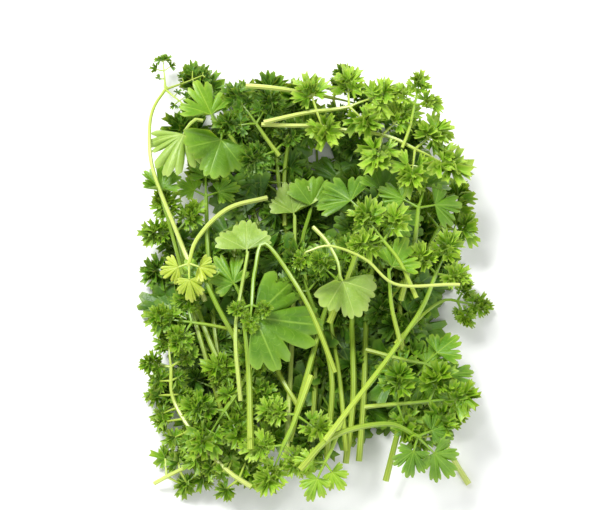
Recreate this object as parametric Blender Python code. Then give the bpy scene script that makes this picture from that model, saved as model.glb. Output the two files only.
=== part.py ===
"""Bunch of young parsley lying in a loose heap, as cut.

Each sprig is one solid: a round stem, the stalks of its leaf, and the lobed blades that the stalks carry.
The sprigs are laid one after another, from the lowest to the topmost. Each one sags over what lies below it
and rests there, so that none crosses another.
"""

import math
import random
from dataclasses import dataclass

import bmesh
import bpy
import numpy as np
from mathutils import Vector

# Lengths are in millimetres until a mesh is made, and plan points are (x, y) as seen from above.
MM = 0.001

# Thickness of a blade and its stalk, half the stalk's width, and the radii of a stem at its two ends.
BLADE_THICKNESS = 0.7
STALK_HALF_WIDTH = 0.55
CUT_END_RADIUS = 1.2
LEAF_END_RADIUS = 0.85
# How far a stem runs on past the place where its stalks start.
STEM_TIP = 1.4
# A bevel resolution of 1 makes a stem six-sided. Points closer than the weld are made one.
STEM_BEVEL_RESOLUTION = 1
WELD = 0.01

# Space left between a sprig and what it rests on.
REST_GAP = 0.3
# A sprig hangs from each thing that holds it up in a curve of this radius, rounded over this distance.
SAG_RADIUS = 50.0
SAG_ROUNDING = 3.0

# Distance between the points of a stem, and the divisions of its smooth route between two of the route's points.
STEM_STEP = 14.0
ROUTE_DIVISIONS = 24
# A leaf's middle stalk and blade, as shares of the leaf's reach, and the same for its side ones.
MIDDLE_STALK, MIDDLE_BLADE = 0.42, 0.58
SIDE_STALK, SIDE_BLADE = 0.28, 0.52
# The side stalks of a leaf leave it at this angle. A lower pair leaves the stem further back and turned more.
SIDE_ANGLE = 68.0
LOWER_PAIR_BACK = 0.6
LOWER_PAIR_TURN = 14.0
# A leaf of a single blade has only a short stalk.
ONLY_STALK = 0.14

# How far one blade may differ from the next: the angle of a side stalk and of a lower one, the angle and length
# of a lobe, and the slope along the blade, across it and of one lobe.
SIDE_ANGLE_SPREAD = 7.0
LOWER_ANGLE_SPREAD = 9.0
LOBE_ANGLE_SPREAD = 2.0
LOBE_LENGTH_SPREAD = 0.08
LOWEST_PITCH, HIGHEST_PITCH = -0.12, 0.3
ROLL_SPREAD = 0.38
LOBE_SLOPE_SPREAD = 0.2
# Slope by which the edge of a cut blade stands up all round.
CUT_RISE = 0.2

# Height map of the heap: size of a cell, half the map's sides, and the height of a cell that nothing covers.
CELL = 1.0
MAP_HALF_X, MAP_HALF_Y = 105.0, 125.0
UNCOVERED = -1.0e6
# Points taken along each side of a blade's triangles for the map.
BLADE_SAMPLES = 26


@dataclass(frozen=True)
class Sprig:
    """One cut sprig, as it is laid: its plan route from the cut end to where the leaf's stalks part.

    Its girth is a share of the usual stem's.
    """

    name: str
    leaf: str
    tone: str
    reach: float
    route: tuple
    blades: int = 3
    turn: float = 0.0
    flat: bool = False
    girth: float = 1.0


@dataclass
class Stem:
    """A round stem: the points of its middle line and its radius at each."""

    points: np.ndarray
    radii: np.ndarray


@dataclass
class Blade:
    """A leaf blade with its stalk: the point where they meet, and the points of their edge all round."""

    base: np.ndarray
    rim: np.ndarray


# One side of a blade's edge from its tip, as (angle from the tip, share of the blade's reach), to the corner where
# the edge comes round to the stalk. A cut blade has five pointed lobes with deep notches between them.
CUT_SIDE = ((0.0, 1.0), (16.0, 0.58), (33.0, 0.9), (51.0, 0.47), (70.0, 0.74), (112.0, 0.1))
# A broad blade has five rounded lobes with shallow notches.
BROAD_SIDE = ((0.0, 1.0), (16.0, 0.76), (33.0, 0.95), (51.0, 0.6), (69.0, 0.74), (108.0, 0.12))


SPRIGS = (
    # Lowest layer: four sprigs lie level, and the dark ones cross over them.
    Sprig("ground_left", "broad", "deep", 27, ((-25, -50), (-36, -28), (-45, -5)), flat=True),
    Sprig("ground_right", "broad", "deep", 27, ((17, -15), (27, -31), (34, -41)), flat=True),
    Sprig("ground_top", "broad", "deep", 27, ((-8, -1), (-1, 30), (-1, 51)), flat=True),
    Sprig("ground_middle", "broad", "deep", 27, ((-12, -20), (-9, -31), (-6, -45)), flat=True),
    Sprig("under_top_left", "cut", "deep", 29, ((-14, -55), (-21, 9), (-33, 51), (-41, 68)), 5),
    Sprig("under_top_right", "broad", "deep", 31, ((3, -60), (7, -5), (13, 22), (16, 38))),
    Sprig("under_right", "cut", "deep", 27, ((9, -58), (23, -18), (35, 8))),
    Sprig("under_low_left", "cut", "deep", 28, ((-32, 30), (-38, -14), (-43, -39))),
    Sprig("under_front", "cut", "deep", 27, ((1, 21), (4, -22), (-1, -48))),
    Sprig("under_corner", "broad", "deep", 25, ((19, 29), (27, -12), (32, -34))),
    Sprig("under_back", "cut", "deep", 28, ((-6, -13), (-15, 33), (-18, 60))),
    Sprig("under_back_right", "cut", "deep", 28, ((32, -36), (29, 17), (25, 56)), 5),
    Sprig("under_left_edge", "cut", "deep", 24, ((-34, -55), (-45, -22), (-53, 5))),
    # Middle layer: stems along the left edge, and the fronds and leaves all round.
    Sprig("stem_far_left", "broad", "fresh", 18, ((-31, -72), (-40, -25), (-44, 14), (-45, 35)),
          girth=0.95),
    Sprig("stem_left", "cut", "fresh", 19, ((-22, -66), (-42, -25), (-51, 1), (-56, 20)), turn=8),
    Sprig("stem_arc_two", "broad", "mid", 15, ((-34, -62), (-47, -20), (-57, 16), (-62, 33)),
          1, turn=-20, girth=0.8),
    Sprig("top_middle", "cut", "mid", 22, ((-14, 24), (-14, 46), (-12, 60)), girth=0.8),
    Sprig("corner_left", "cut", "fresh", 22, ((-63, -77), (-51, -72), (-33, -66)), girth=0.7),
    Sprig("corner_right", "cut", "fresh", 20, ((56, -77), (51, -69), (45, -59))),
    Sprig("low_cut", "broad", "fresh", 23, ((24, -77), (29, -58), (34, -41)), turn=-20),
    Sprig("low_left_arc", "cut", "fresh", 17, ((-26, -80), (-35, -74), (-47, -61), (-56, -46), (-57, -34)),
          girth=0.8),
    Sprig("left_mid", "cut", "fresh", 19, ((-31, -21), (-42, -19), (-49, -18)), girth=0.65),
    Sprig("left_arc", "cut", "deep", 19, ((-44, -10), (-56, 19), (-65, 42), (-67, 59), (-66, 70), (-62, 80)),
          turn=-45, girth=0.75),
    Sprig("left_leaf_three", "broad", "fresh", 19, ((-29, 48), (-35, 58), (-42, 64)),
          1, turn=-25, girth=0.65),
    Sprig("left_leaf", "broad", "pale", 21, ((-46, 62), (-49, 62), (-52, 58)), 1, turn=10, girth=0.65),
    Sprig("left_leaf_two", "broad", "mid", 21, ((-28, 64), (-35, 62), (-38, 56)), 1, turn=15, girth=0.65),
    Sprig("back_left_frond", "cut", "deep", 21, ((-16, 48), (-20, 53), (-25, 60)), 5, girth=0.75),
    Sprig("rod_top", "cut", "deep", 20, ((-29, 74), (-12, 73), (5, 72)), girth=0.85),
    Sprig("right_edge", "cut", "fresh", 20, ((23, -11), (38, 8), (46, 21)), girth=0.8),
    # The pale stems that run up through the middle.
    Sprig("stem_middle_left", "broad", "pale", 16, ((-13, -71), (-11, -20), (-10, 13), (-10, 26)),
          1, turn=14, girth=0.85),
    Sprig("stem_middle", "broad", "mid", 16, ((-4, -69), (-2, -25), (-7, 12), (-4, 28)),
          1, turn=-6, girth=0.9),
    Sprig("stem_right", "broad", "deep", 25, ((14, -70), (16, -47), (18, -10), (22, 16))),
    Sprig("stem_middle_right", "cut", "mid", 21, ((9, -71), (12, -46), (12, -17), (13, 7))),
    Sprig("stem_end", "broad", "mid", 16, ((9, -67), (7, -40), (4, -17), (2, 2)), 1, turn=-10, girth=0.75),
    Sprig("stem_centre", "cut", "deep", 20, ((2, -69), (4, -41), (0, -21), (-5, -6)), girth=0.9),
    Sprig("stem_cross", "broad", "fresh", 15, ((-9, -50), (-16, -38), (-26, -17), (-32, -5)),
          1, turn=10, girth=0.8),
    Sprig("stem_diagonal", "broad", "fresh", 14, ((-21, -44), (-28, -32), (-38, -15), (-43, -5)),
          1, turn=12, girth=0.95),
    Sprig("stem_slant", "cut", "fresh", 18, ((-12, -64), (-5, -38), (0, -19), (6, -3))),
    # Upper layer: the broad leaves behind, then the bright fronds.
    Sprig("broad_back", "broad", "mid", 30, ((3, -20), (12, 2), (17, 21)), turn=-15),
    Sprig("broad_right", "broad", "mid", 23, ((30, -11), (35, 9), (37, 24)), turn=-10, girth=0.85),
    Sprig("right_low", "broad", "fresh", 22, ((17, -28), (30, -32), (39, -34)), turn=-15, girth=0.75),
    Sprig("low_right_frond", "cut", "fresh", 20, ((16, -51), (30, -50), (40, -49)), 5, girth=0.7),
    Sprig("frond_right", "cut", "bright", 23, ((-23, 59), (4, 58), (25, 53), (36, 47)), 5, girth=0.75),
    Sprig("frond_top", "cut", "bright", 21, ((-22, 59), (-6, 63), (11, 65)), 5, turn=12, girth=0.8),
    Sprig("frond_tip", "cut", "bright", 14, ((31, 47), (34, 55), (36, 64)), girth=0.55),
    Sprig("low_left_frond", "cut", "fresh", 22, ((-22, -27), (-30, -43), (-36, -52)), 5),
    Sprig("low_mid_frond", "cut", "bright", 20, ((-4, -40), (-10, -57), (-14, -66)), 5),
    Sprig("low_front", "broad", "bright", 15, ((8, -56), (4, -67), (1, -73)), girth=0.7),
    Sprig("arc_right", "broad", "mid", 20, ((-8, -76), (4, -64), (24, -59), (35, -63)), turn=-25),
    # Topmost: the branch, the leaves that lie open and the stems that cross over everything.
    Sprig("right_leaf", "cut", "fresh", 15, ((28, -26), (40, -13), (48, -7), (53, -7)),
          turn=-32, girth=0.65),
    Sprig("main_branch", "cut", "bright", 17, ((1, -66), (16, -46), (30, -26), (38, -14), (43, -2)),
          girth=0.9),
    Sprig("wedge_leaf", "broad", "fresh", 15, ((29, -28), (26, -16), (25, -3)), 1, turn=-35, girth=0.7),
    Sprig("round_leaf", "broad", "pale", 16, ((-30, -49), (-32, -22), (-28, 7)), 1, turn=16, girth=0.75),
    Sprig("flat_leaf", "broad", "mid", 30, ((-26, -68), (-27, -38), (-29, -18)), 1, turn=-104),
    Sprig("fold_over", "cut", "fresh", 12, ((5, -39), (-6, -12), (-21, 11), (-25, 0), (-26, -14)),
          girth=0.8),
    Sprig("frond_mid", "cut", "bright", 18, ((35, -13), (29, 0), (23, 8)), girth=0.7),
    Sprig("pale_leaf", "broad", "pale", 19, ((-3, 17), (2, 11), (6, 3), (7, -3)), 1, turn=6, girth=0.65),
    Sprig("cut_long", "broad", "yellow", 15, ((-21, 33), (-36, 26), (-47, 13), (-50, 3)),
          turn=24, girth=0.85),
    Sprig("loop", "cut", "fresh", 8, ((51, -8), (28, -9), (16, 0), (3, 5), (-6, 3)),
          1, turn=60, girth=0.55),
)

# Colour (linear red, green, blue) of each tone of sprig.
TONES = {
    "deep": (0.060, 0.170, 0.018),
    "mid": (0.115, 0.285, 0.028),
    "fresh": (0.130, 0.330, 0.022),
    "bright": (0.205, 0.430, 0.025),
    "pale": (0.260, 0.460, 0.070),
    "yellow": (0.430, 0.540, 0.045),
}
LEAF_ROUGHNESS = 0.45


def blade_edge(leaf):
    """Returns (angle in degrees, share of the reach) for a blade's edge points, from one corner to the other."""
    side = BROAD_SIDE if leaf == "broad" else CUT_SIDE
    return [(-angle, share) for angle, share in reversed(side[1:])] + list(side)


def smooth_route(route):
    """Returns points on a smooth curve through the route's points, about one step apart."""
    ends = [np.array(p, float) for p in route]
    ends = [2 * ends[0] - ends[1]] + ends + [2 * ends[-1] - ends[-2]]
    fine = []
    for a, b, c, d in zip(ends, ends[1:], ends[2:], ends[3:]):
        for t in np.linspace(0, 1, ROUTE_DIVISIONS, endpoint=False):
            square, cube = 2 * a - 5 * b + 4 * c - d, 3 * b - a - 3 * c + d
            fine.append(b + (c - a) / 2 * t + square / 2 * t**2 + cube / 2 * t**3)
    fine.append(ends[-2])
    fine = np.array(fine)
    along = np.concatenate([[0], np.cumsum(np.linalg.norm(np.diff(fine, axis=0), axis=1))])
    wanted = np.linspace(0, along[-1], max(3, round(along[-1] / STEM_STEP) + 1))
    return np.column_stack([np.interp(wanted, along, fine[:, i]) for i in range(2)])


def heading_vector(degrees):
    """Returns the plan direction of a heading, counted from +X towards +Y."""
    return np.array([math.cos(math.radians(degrees)), math.sin(math.radians(degrees))])


def lay_blade(start, heading, stalk, reach, sprig, draw):
    """Returns the blade whose stalk leaves start along heading, with its lobes lifted and dropped at random."""
    ahead = heading_vector(heading)
    base = np.append(start[:2] + stalk * ahead, start[2])
    pitch = draw.uniform(LOWEST_PITCH, HIGHEST_PITCH)
    roll = draw.uniform(-ROLL_SPREAD, ROLL_SPREAD)
    rim = []
    for angle, share in blade_edge(sprig.leaf):
        length = reach * share * (1 + draw.uniform(-LOBE_LENGTH_SPREAD, LOBE_LENGTH_SPREAD))
        turned = angle + draw.uniform(-LOBE_ANGLE_SPREAD, LOBE_ANGLE_SPREAD)
        spot = base[:2] + length * heading_vector(heading + turned)
        slope = pitch * math.cos(math.radians(angle)) + roll * math.sin(math.radians(angle))
        slope += draw.uniform(-LOBE_SLOPE_SPREAD, LOBE_SLOPE_SPREAD)
        slope += 0.0 if sprig.leaf == "broad" else CUT_RISE
        rim.append((*spot, base[2] + (0.0 if sprig.flat else slope * length)))
    across = STALK_HALF_WIDTH * np.array([-ahead[1], ahead[0]])
    rim += [(*(start[:2] + side * across), start[2]) for side in (1, -1)]
    return Blade(base, np.array(rim))


def lay_sprig(sprig):
    """Returns the stem and blades of a sprig as if it lay on a level surface, before it sags."""
    draw = random.Random(sprig.name)
    plan = smooth_route(sprig.route)
    last = plan[-1] - plan[-2]
    last /= np.linalg.norm(last)
    node = np.append(plan[-1], 0.0)
    plan = np.vstack([plan, plan[-1] + STEM_TIP * last])
    radii = sprig.girth * np.linspace(CUT_END_RADIUS, LEAF_END_RADIUS, len(plan))
    heights = radii - BLADE_THICKNESS / 2 if sprig.flat else np.zeros(len(plan))
    stem = Stem(np.column_stack([plan, heights]), radii)
    heading = math.degrees(math.atan2(last[1], last[0])) + sprig.turn
    if sprig.blades == 1:
        parts = [(node, heading, ONLY_STALK, 1 - ONLY_STALK)]
    else:
        parts = [(node, heading, MIDDLE_STALK, MIDDLE_BLADE)]
        for side in (-1, 1):
            angle = heading + side * SIDE_ANGLE + draw.uniform(-SIDE_ANGLE_SPREAD, SIDE_ANGLE_SPREAD)
            parts.append((node, angle, SIDE_STALK, SIDE_BLADE))
    if sprig.blades == 5:
        back = node - np.append(last, 0.0) * LOWER_PAIR_BACK * sprig.reach
        for side in (-1, 1):
            angle = heading + side * (SIDE_ANGLE + LOWER_PAIR_TURN)
            angle += draw.uniform(-LOWER_ANGLE_SPREAD, LOWER_ANGLE_SPREAD)
            parts.append((back, angle, SIDE_STALK, SIDE_BLADE))
    return stem, [
        lay_blade(start, angle, stalk * sprig.reach, blade * sprig.reach, sprig, draw)
        for start, angle, stalk, blade in parts
    ]


class Heap:
    """Height map of the top of what has been laid so far, over which the next sprig sags."""

    def __init__(self):
        self.counts = (round(2 * MAP_HALF_X / CELL), round(2 * MAP_HALF_Y / CELL))
        self.top = np.full(self.counts, -REST_GAP)
        self.arches = [self.arch_of(count) for count in self.counts]
        self.blurs = [self.blur_of(count) for count in self.counts]

    @staticmethod
    def arch_of(count):
        """Returns how far a hanging sprig has dropped at each distance along one axis."""
        steps = np.arange(count) * CELL
        return (steps[:, None] - steps[None, :]) ** 2 / (2 * SAG_RADIUS)

    @staticmethod
    def blur_of(count):
        """Returns the matrix that smooths a map along one axis."""
        steps = np.arange(count) * CELL
        weights = np.exp(-((steps[:, None] - steps[None, :]) ** 2) / (2 * SAG_ROUNDING**2))
        return weights / weights.sum(axis=1, keepdims=True)

    def cells(self, points):
        """Returns the cell of each point as two arrays of indices."""
        spots = (points[..., :2] + (MAP_HALF_X, MAP_HALF_Y)) / CELL
        index = np.floor(spots).astype(int)
        return index[..., 0].ravel(), index[..., 1].ravel()

    def spans(self, stem, blades):
        """Returns maps of the lowest and the highest point of the stem and blades in each cell."""
        low = np.full(self.counts, -UNCOVERED)
        high = np.full(self.counts, UNCOVERED)
        for points, half in self.samples(stem, blades):
            where = self.cells(points)
            heights = points[..., 2].ravel()
            half = np.broadcast_to(half, points.shape[:-1]).ravel()
            np.minimum.at(low, where, heights - half)
            np.maximum.at(high, where, heights + half)
        return low, high

    @staticmethod
    def samples(stem, blades):
        """Yields points all over the stem and blades, each with half the thickness there."""
        steps = range(BLADE_SAMPLES)
        pairs = np.array([(a, b) for a in steps for b in steps if a + b < BLADE_SAMPLES])
        pairs = pairs / (BLADE_SAMPLES - 1)
        for blade in blades:
            beside = np.roll(blade.rim, -1, axis=0)
            first = pairs[:, 0, None, None] * (blade.rim - blade.base)
            second = pairs[:, 1, None, None] * (beside - blade.base)
            yield blade.base + first + second, BLADE_THICKNESS / 2
        lengths = np.linalg.norm(np.diff(stem.points, axis=0), axis=1)
        along = np.concatenate([[0], np.cumsum(lengths)])
        wanted = np.linspace(0, along[-1], int(2 * along[-1] / CELL))
        middle = np.column_stack([np.interp(wanted, along, stem.points[:, i]) for i in range(3)])
        radii = np.interp(wanted, along, stem.radii)
        run = np.gradient(middle[:, :2], axis=0)
        across = np.column_stack([-run[:, 1], run[:, 0]])
        across *= (radii / np.linalg.norm(across, axis=1))[:, None]
        for side in (-1, 0, 1):
            yield middle + np.column_stack([side * across, np.zeros(len(middle))]), radii

    def sag_over(self, low):
        """Returns the smooth surface that a sprig with this underside takes when it rests on the heap."""
        need = np.where(low < -UNCOVERED, self.top + REST_GAP - low, UNCOVERED)
        along_x = np.stack([(need - drop[:, None]).max(axis=0) for drop in self.arches[0]])
        along_y = np.stack([(along_x - drop[None, :]).max(axis=1) for drop in self.arches[1]], axis=1)
        return self.blurs[0] @ along_y @ self.blurs[1].T

    def height_at(self, surface, points):
        """Returns the surface's height at plan points, read between the middles of the cells."""
        spots = (points[:, :2] + (MAP_HALF_X, MAP_HALF_Y)) / CELL - 0.5
        index = np.floor(spots).astype(int)
        part = spots - index
        total = np.zeros(len(points))
        for dx in (0, 1):
            for dy in (0, 1):
                weight = np.abs(1 - dx - part[:, 0]) * np.abs(1 - dy - part[:, 1])
                total += weight * surface[index[:, 0] + dx, index[:, 1] + dy]
        return total

    def lay(self, stem, blades, flat):
        """Moves a sprig's stem and blades down on to the heap, in place, and adds them to the map."""
        low, _ = self.spans(stem, blades)
        surface = np.zeros(self.counts) if flat else self.sag_over(low)
        for points in point_sets(stem, blades):
            points[:, 2] += self.height_at(surface, points)
        low, high = self.spans(stem, blades)
        lift = (self.top + REST_GAP - low)[low < -UNCOVERED].max()
        for points in point_sets(stem, blades):
            points[:, 2] += lift
        self.top = np.maximum(self.top, self.widened(high + lift))

    @staticmethod
    def widened(surface):
        """Returns the map with each cell raised to the highest of its neighbours."""
        rows = np.maximum(surface, np.maximum(np.roll(surface, 1, axis=0), np.roll(surface, -1, axis=0)))
        return np.maximum(rows, np.maximum(np.roll(rows, 1, axis=1), np.roll(rows, -1, axis=1)))


def point_sets(stem, blades):
    """Returns every array of points in a stem and blades, for changing them in place."""
    return [stem.points] + [blade.rim for blade in blades] + [blade.base[None] for blade in blades]


def lay_bunch():
    """Returns (sprig, stem, blades) for every sprig as laid, with the origin below the bunch's middle."""
    heap = Heap()
    laid = []
    for sprig in SPRIGS:
        stem, blades = lay_sprig(sprig)
        heap.lay(stem, blades, sprig.flat)
        laid.append((sprig, stem, blades))
    reached = np.concatenate([points for _, stem, blades in laid for points in point_sets(stem, blades)])
    middle = (reached.min(axis=0) + reached.max(axis=0)) / 2
    for _, stem, blades in laid:
        for points in point_sets(stem, blades):
            points[:, :2] -= middle[:2]
    return laid


def tone_material(tone):
    """Returns the leaf material of a tone."""
    material = bpy.data.materials.new("parsley_" + tone)
    material.use_nodes = True
    shader = material.node_tree.nodes["Principled BSDF"]
    shader.inputs["Base Color"].default_value = (*TONES[tone], 1.0)
    shader.inputs["Roughness"].default_value = LEAF_ROUGHNESS
    shader.inputs["Metallic"].default_value = 0.0
    return material


def link(name, mesh, collection):
    """Returns a new object that shows the mesh, in the collection."""
    made = bpy.data.objects.new(name, mesh)
    collection.objects.link(made)
    return made


def stem_object(name, stem, collection):
    """Returns a closed mesh tube along a stem, made as a bevelled curve."""
    curve = bpy.data.curves.new(name, "CURVE")
    curve.dimensions = "3D"
    curve.use_fill_caps = True
    curve.bevel_depth = MM
    curve.bevel_resolution = STEM_BEVEL_RESOLUTION
    spline = curve.splines.new("POLY")
    spline.points.add(len(stem.points) - 1)
    for target, spot, radius in zip(spline.points, stem.points, stem.radii):
        target.co = (*(spot * MM), 1.0)
        target.radius = radius
    line = link(name + "_line", curve, collection)
    graph = bpy.context.evaluated_depsgraph_get()
    mesh = bpy.data.meshes.new_from_object(line.evaluated_get(graph))
    bpy.data.objects.remove(line)
    work = bmesh.new()
    work.from_mesh(mesh)
    bmesh.ops.remove_doubles(work, verts=work.verts, dist=WELD * MM)
    bmesh.ops.recalc_face_normals(work, faces=work.faces)
    work.to_mesh(mesh)
    work.free()
    return link(name, mesh, collection)


def blade_object(name, blade, collection):
    """Returns a closed mesh of a blade: a round fan of triangles drawn out to its edge, then thickened."""
    work = bmesh.new()
    fan = bmesh.ops.create_circle(work, cap_ends=True, cap_tris=True, segments=len(blade.rim), radius=1.0)
    middle = min(fan["verts"], key=lambda vert: vert.co.length)
    around = sorted((v for v in fan["verts"] if v is not middle), key=lambda v: math.atan2(v.co.y, v.co.x))
    half = Vector((0, 0, BLADE_THICKNESS / 2 * MM))
    middle.co = Vector(blade.base * MM) + half
    for vert, spot in zip(around, blade.rim):
        vert.co = Vector(spot * MM) + half
    upper = list(work.faces)
    skirt = bmesh.ops.extrude_face_region(work, geom=upper, use_keep_orig=True)
    lower = [item for item in skirt["geom"] if isinstance(item, bmesh.types.BMVert)]
    bmesh.ops.translate(work, verts=lower, vec=-2 * half)
    bmesh.ops.recalc_face_normals(work, faces=work.faces)
    bmesh.ops.triangulate(work, faces=work.faces)
    mesh = bpy.data.meshes.new(name)
    work.to_mesh(mesh)
    work.free()
    return link(name, mesh, collection)


def face_islands(work):
    """Returns the faces of a bmesh as lists, one for each shell that holds together."""
    left = set(work.faces)
    islands = []
    while left:
        reached = [left.pop()]
        for face in reached:
            beside = {other for edge in face.edges for other in edge.link_faces} & left
            left -= beside
            reached.extend(beside)
        islands.append(reached)
    return islands


def shell_volume(faces):
    """Returns the signed volume in a shell of triangles, which is negative for the wall of a sealed hollow."""
    corners = (tuple(vert.co for vert in face.verts) for face in faces)
    return sum(a.dot(b.cross(c)) for a, b, c in corners) / 6


def keep_outer_shell(mesh):
    """Fills the hollows that joining sealed, and drops loose scraps, so that one closed shell is left."""
    work = bmesh.new()
    work.from_mesh(mesh)
    bmesh.ops.triangulate(work, faces=work.faces)
    islands = sorted(face_islands(work), key=shell_volume)
    for faces in islands[:-1]:
        bmesh.ops.delete(work, geom=faces, context="FACES")
    work.to_mesh(mesh)
    work.free()


def build_sprig(sprig, stem, blades, bunch, loose, material):
    """Makes one sprig's solid: its stem, joined to its blades and their stalks by one Boolean union."""
    name = "sprig_" + sprig.name
    solid = stem_object(name, stem, bunch)
    for number, blade in enumerate(blades):
        blade_object(f"{name}_blade_{number}", blade, loose)
    union = solid.modifiers.new("union", "BOOLEAN")
    union.operation = "UNION"
    union.operand_type = "COLLECTION"
    union.collection = loose
    union.solver = "MANIFOLD"
    with bpy.context.temp_override(object=solid, active_object=solid):
        bpy.ops.object.modifier_apply(modifier=union.name)
    keep_outer_shell(solid.data)
    for piece in list(loose.objects):
        bpy.data.objects.remove(piece)
    solid.data.materials.clear()
    solid.data.materials.append(material)


def main():
    """Clears the scene and builds the bunch."""
    for old in list(bpy.data.objects):
        bpy.data.objects.remove(old)
    bunch = bpy.data.collections.new("parsley_bunch")
    loose = bpy.data.collections.new("pieces_to_join")
    for collection in (bunch, loose):
        bpy.context.scene.collection.children.link(collection)
    materials = {tone: tone_material(tone) for tone in TONES}
    for sprig, stem, blades in lay_bunch():
        build_sprig(sprig, stem, blades, bunch, loose, materials[sprig.tone])


main()
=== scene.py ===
"""Fine surface of a bunch of cut parsley: stems, curly fronds and broad leaves, laid as the solids lie."""

import logging
import math
import random
from dataclasses import dataclass, field, replace
from enum import Enum, IntEnum

import bmesh
import bpy
import numpy as np
from mathutils import Matrix, Vector


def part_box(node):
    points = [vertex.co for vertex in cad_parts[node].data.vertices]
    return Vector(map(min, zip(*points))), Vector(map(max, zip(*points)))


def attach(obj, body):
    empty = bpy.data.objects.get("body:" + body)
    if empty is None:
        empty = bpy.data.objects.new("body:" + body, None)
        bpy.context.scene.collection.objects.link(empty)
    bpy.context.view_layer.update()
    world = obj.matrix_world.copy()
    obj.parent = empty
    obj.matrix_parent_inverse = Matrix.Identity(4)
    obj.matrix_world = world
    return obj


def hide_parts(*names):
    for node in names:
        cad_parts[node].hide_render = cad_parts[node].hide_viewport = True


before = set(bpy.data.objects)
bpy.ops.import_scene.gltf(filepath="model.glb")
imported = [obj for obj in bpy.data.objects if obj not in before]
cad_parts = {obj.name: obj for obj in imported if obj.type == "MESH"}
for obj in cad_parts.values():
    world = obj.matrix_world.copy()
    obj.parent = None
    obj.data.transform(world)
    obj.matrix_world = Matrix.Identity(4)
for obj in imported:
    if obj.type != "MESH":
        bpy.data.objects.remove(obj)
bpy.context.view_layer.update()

LOG = logging.getLogger("parsley")

# Lengths are in millimetres until a mesh is made.
MM = 0.001


class LeafKind(Enum):
    """How a sprig's leaf is cut."""

    CUT = "cut"
    BROAD = "broad"


class Tone(Enum):
    """The green of a sprig, which is also the end of its material slot's name."""

    # Deep green: partly the leaves' own darker green and partly painted shade. It goes mostly to the sprigs
    # that lie low inside the bunch.
    DEEP = "deep"
    MID = "mid"
    FRESH = "fresh"
    BRIGHT = "bright"
    PALE = "pale"
    YELLOW = "yellow"


CUT, BROAD = LeafKind.CUT, LeafKind.BROAD
DEEP, MID, FRESH, BRIGHT, PALE, YELLOW = Tone


@dataclass(frozen=True)
class Sprig:
    """One cut sprig, as it is laid: its plan route from the cut end to where the leaf's stalks part.

    Its girth is a share of the usual stem's.
    """

    name: str
    kind: LeafKind
    tone: Tone
    reach: float
    route: tuple
    blades: int = 3
    turn: float = 0.0
    flat: bool = False
    girth: float = 1.0


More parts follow.
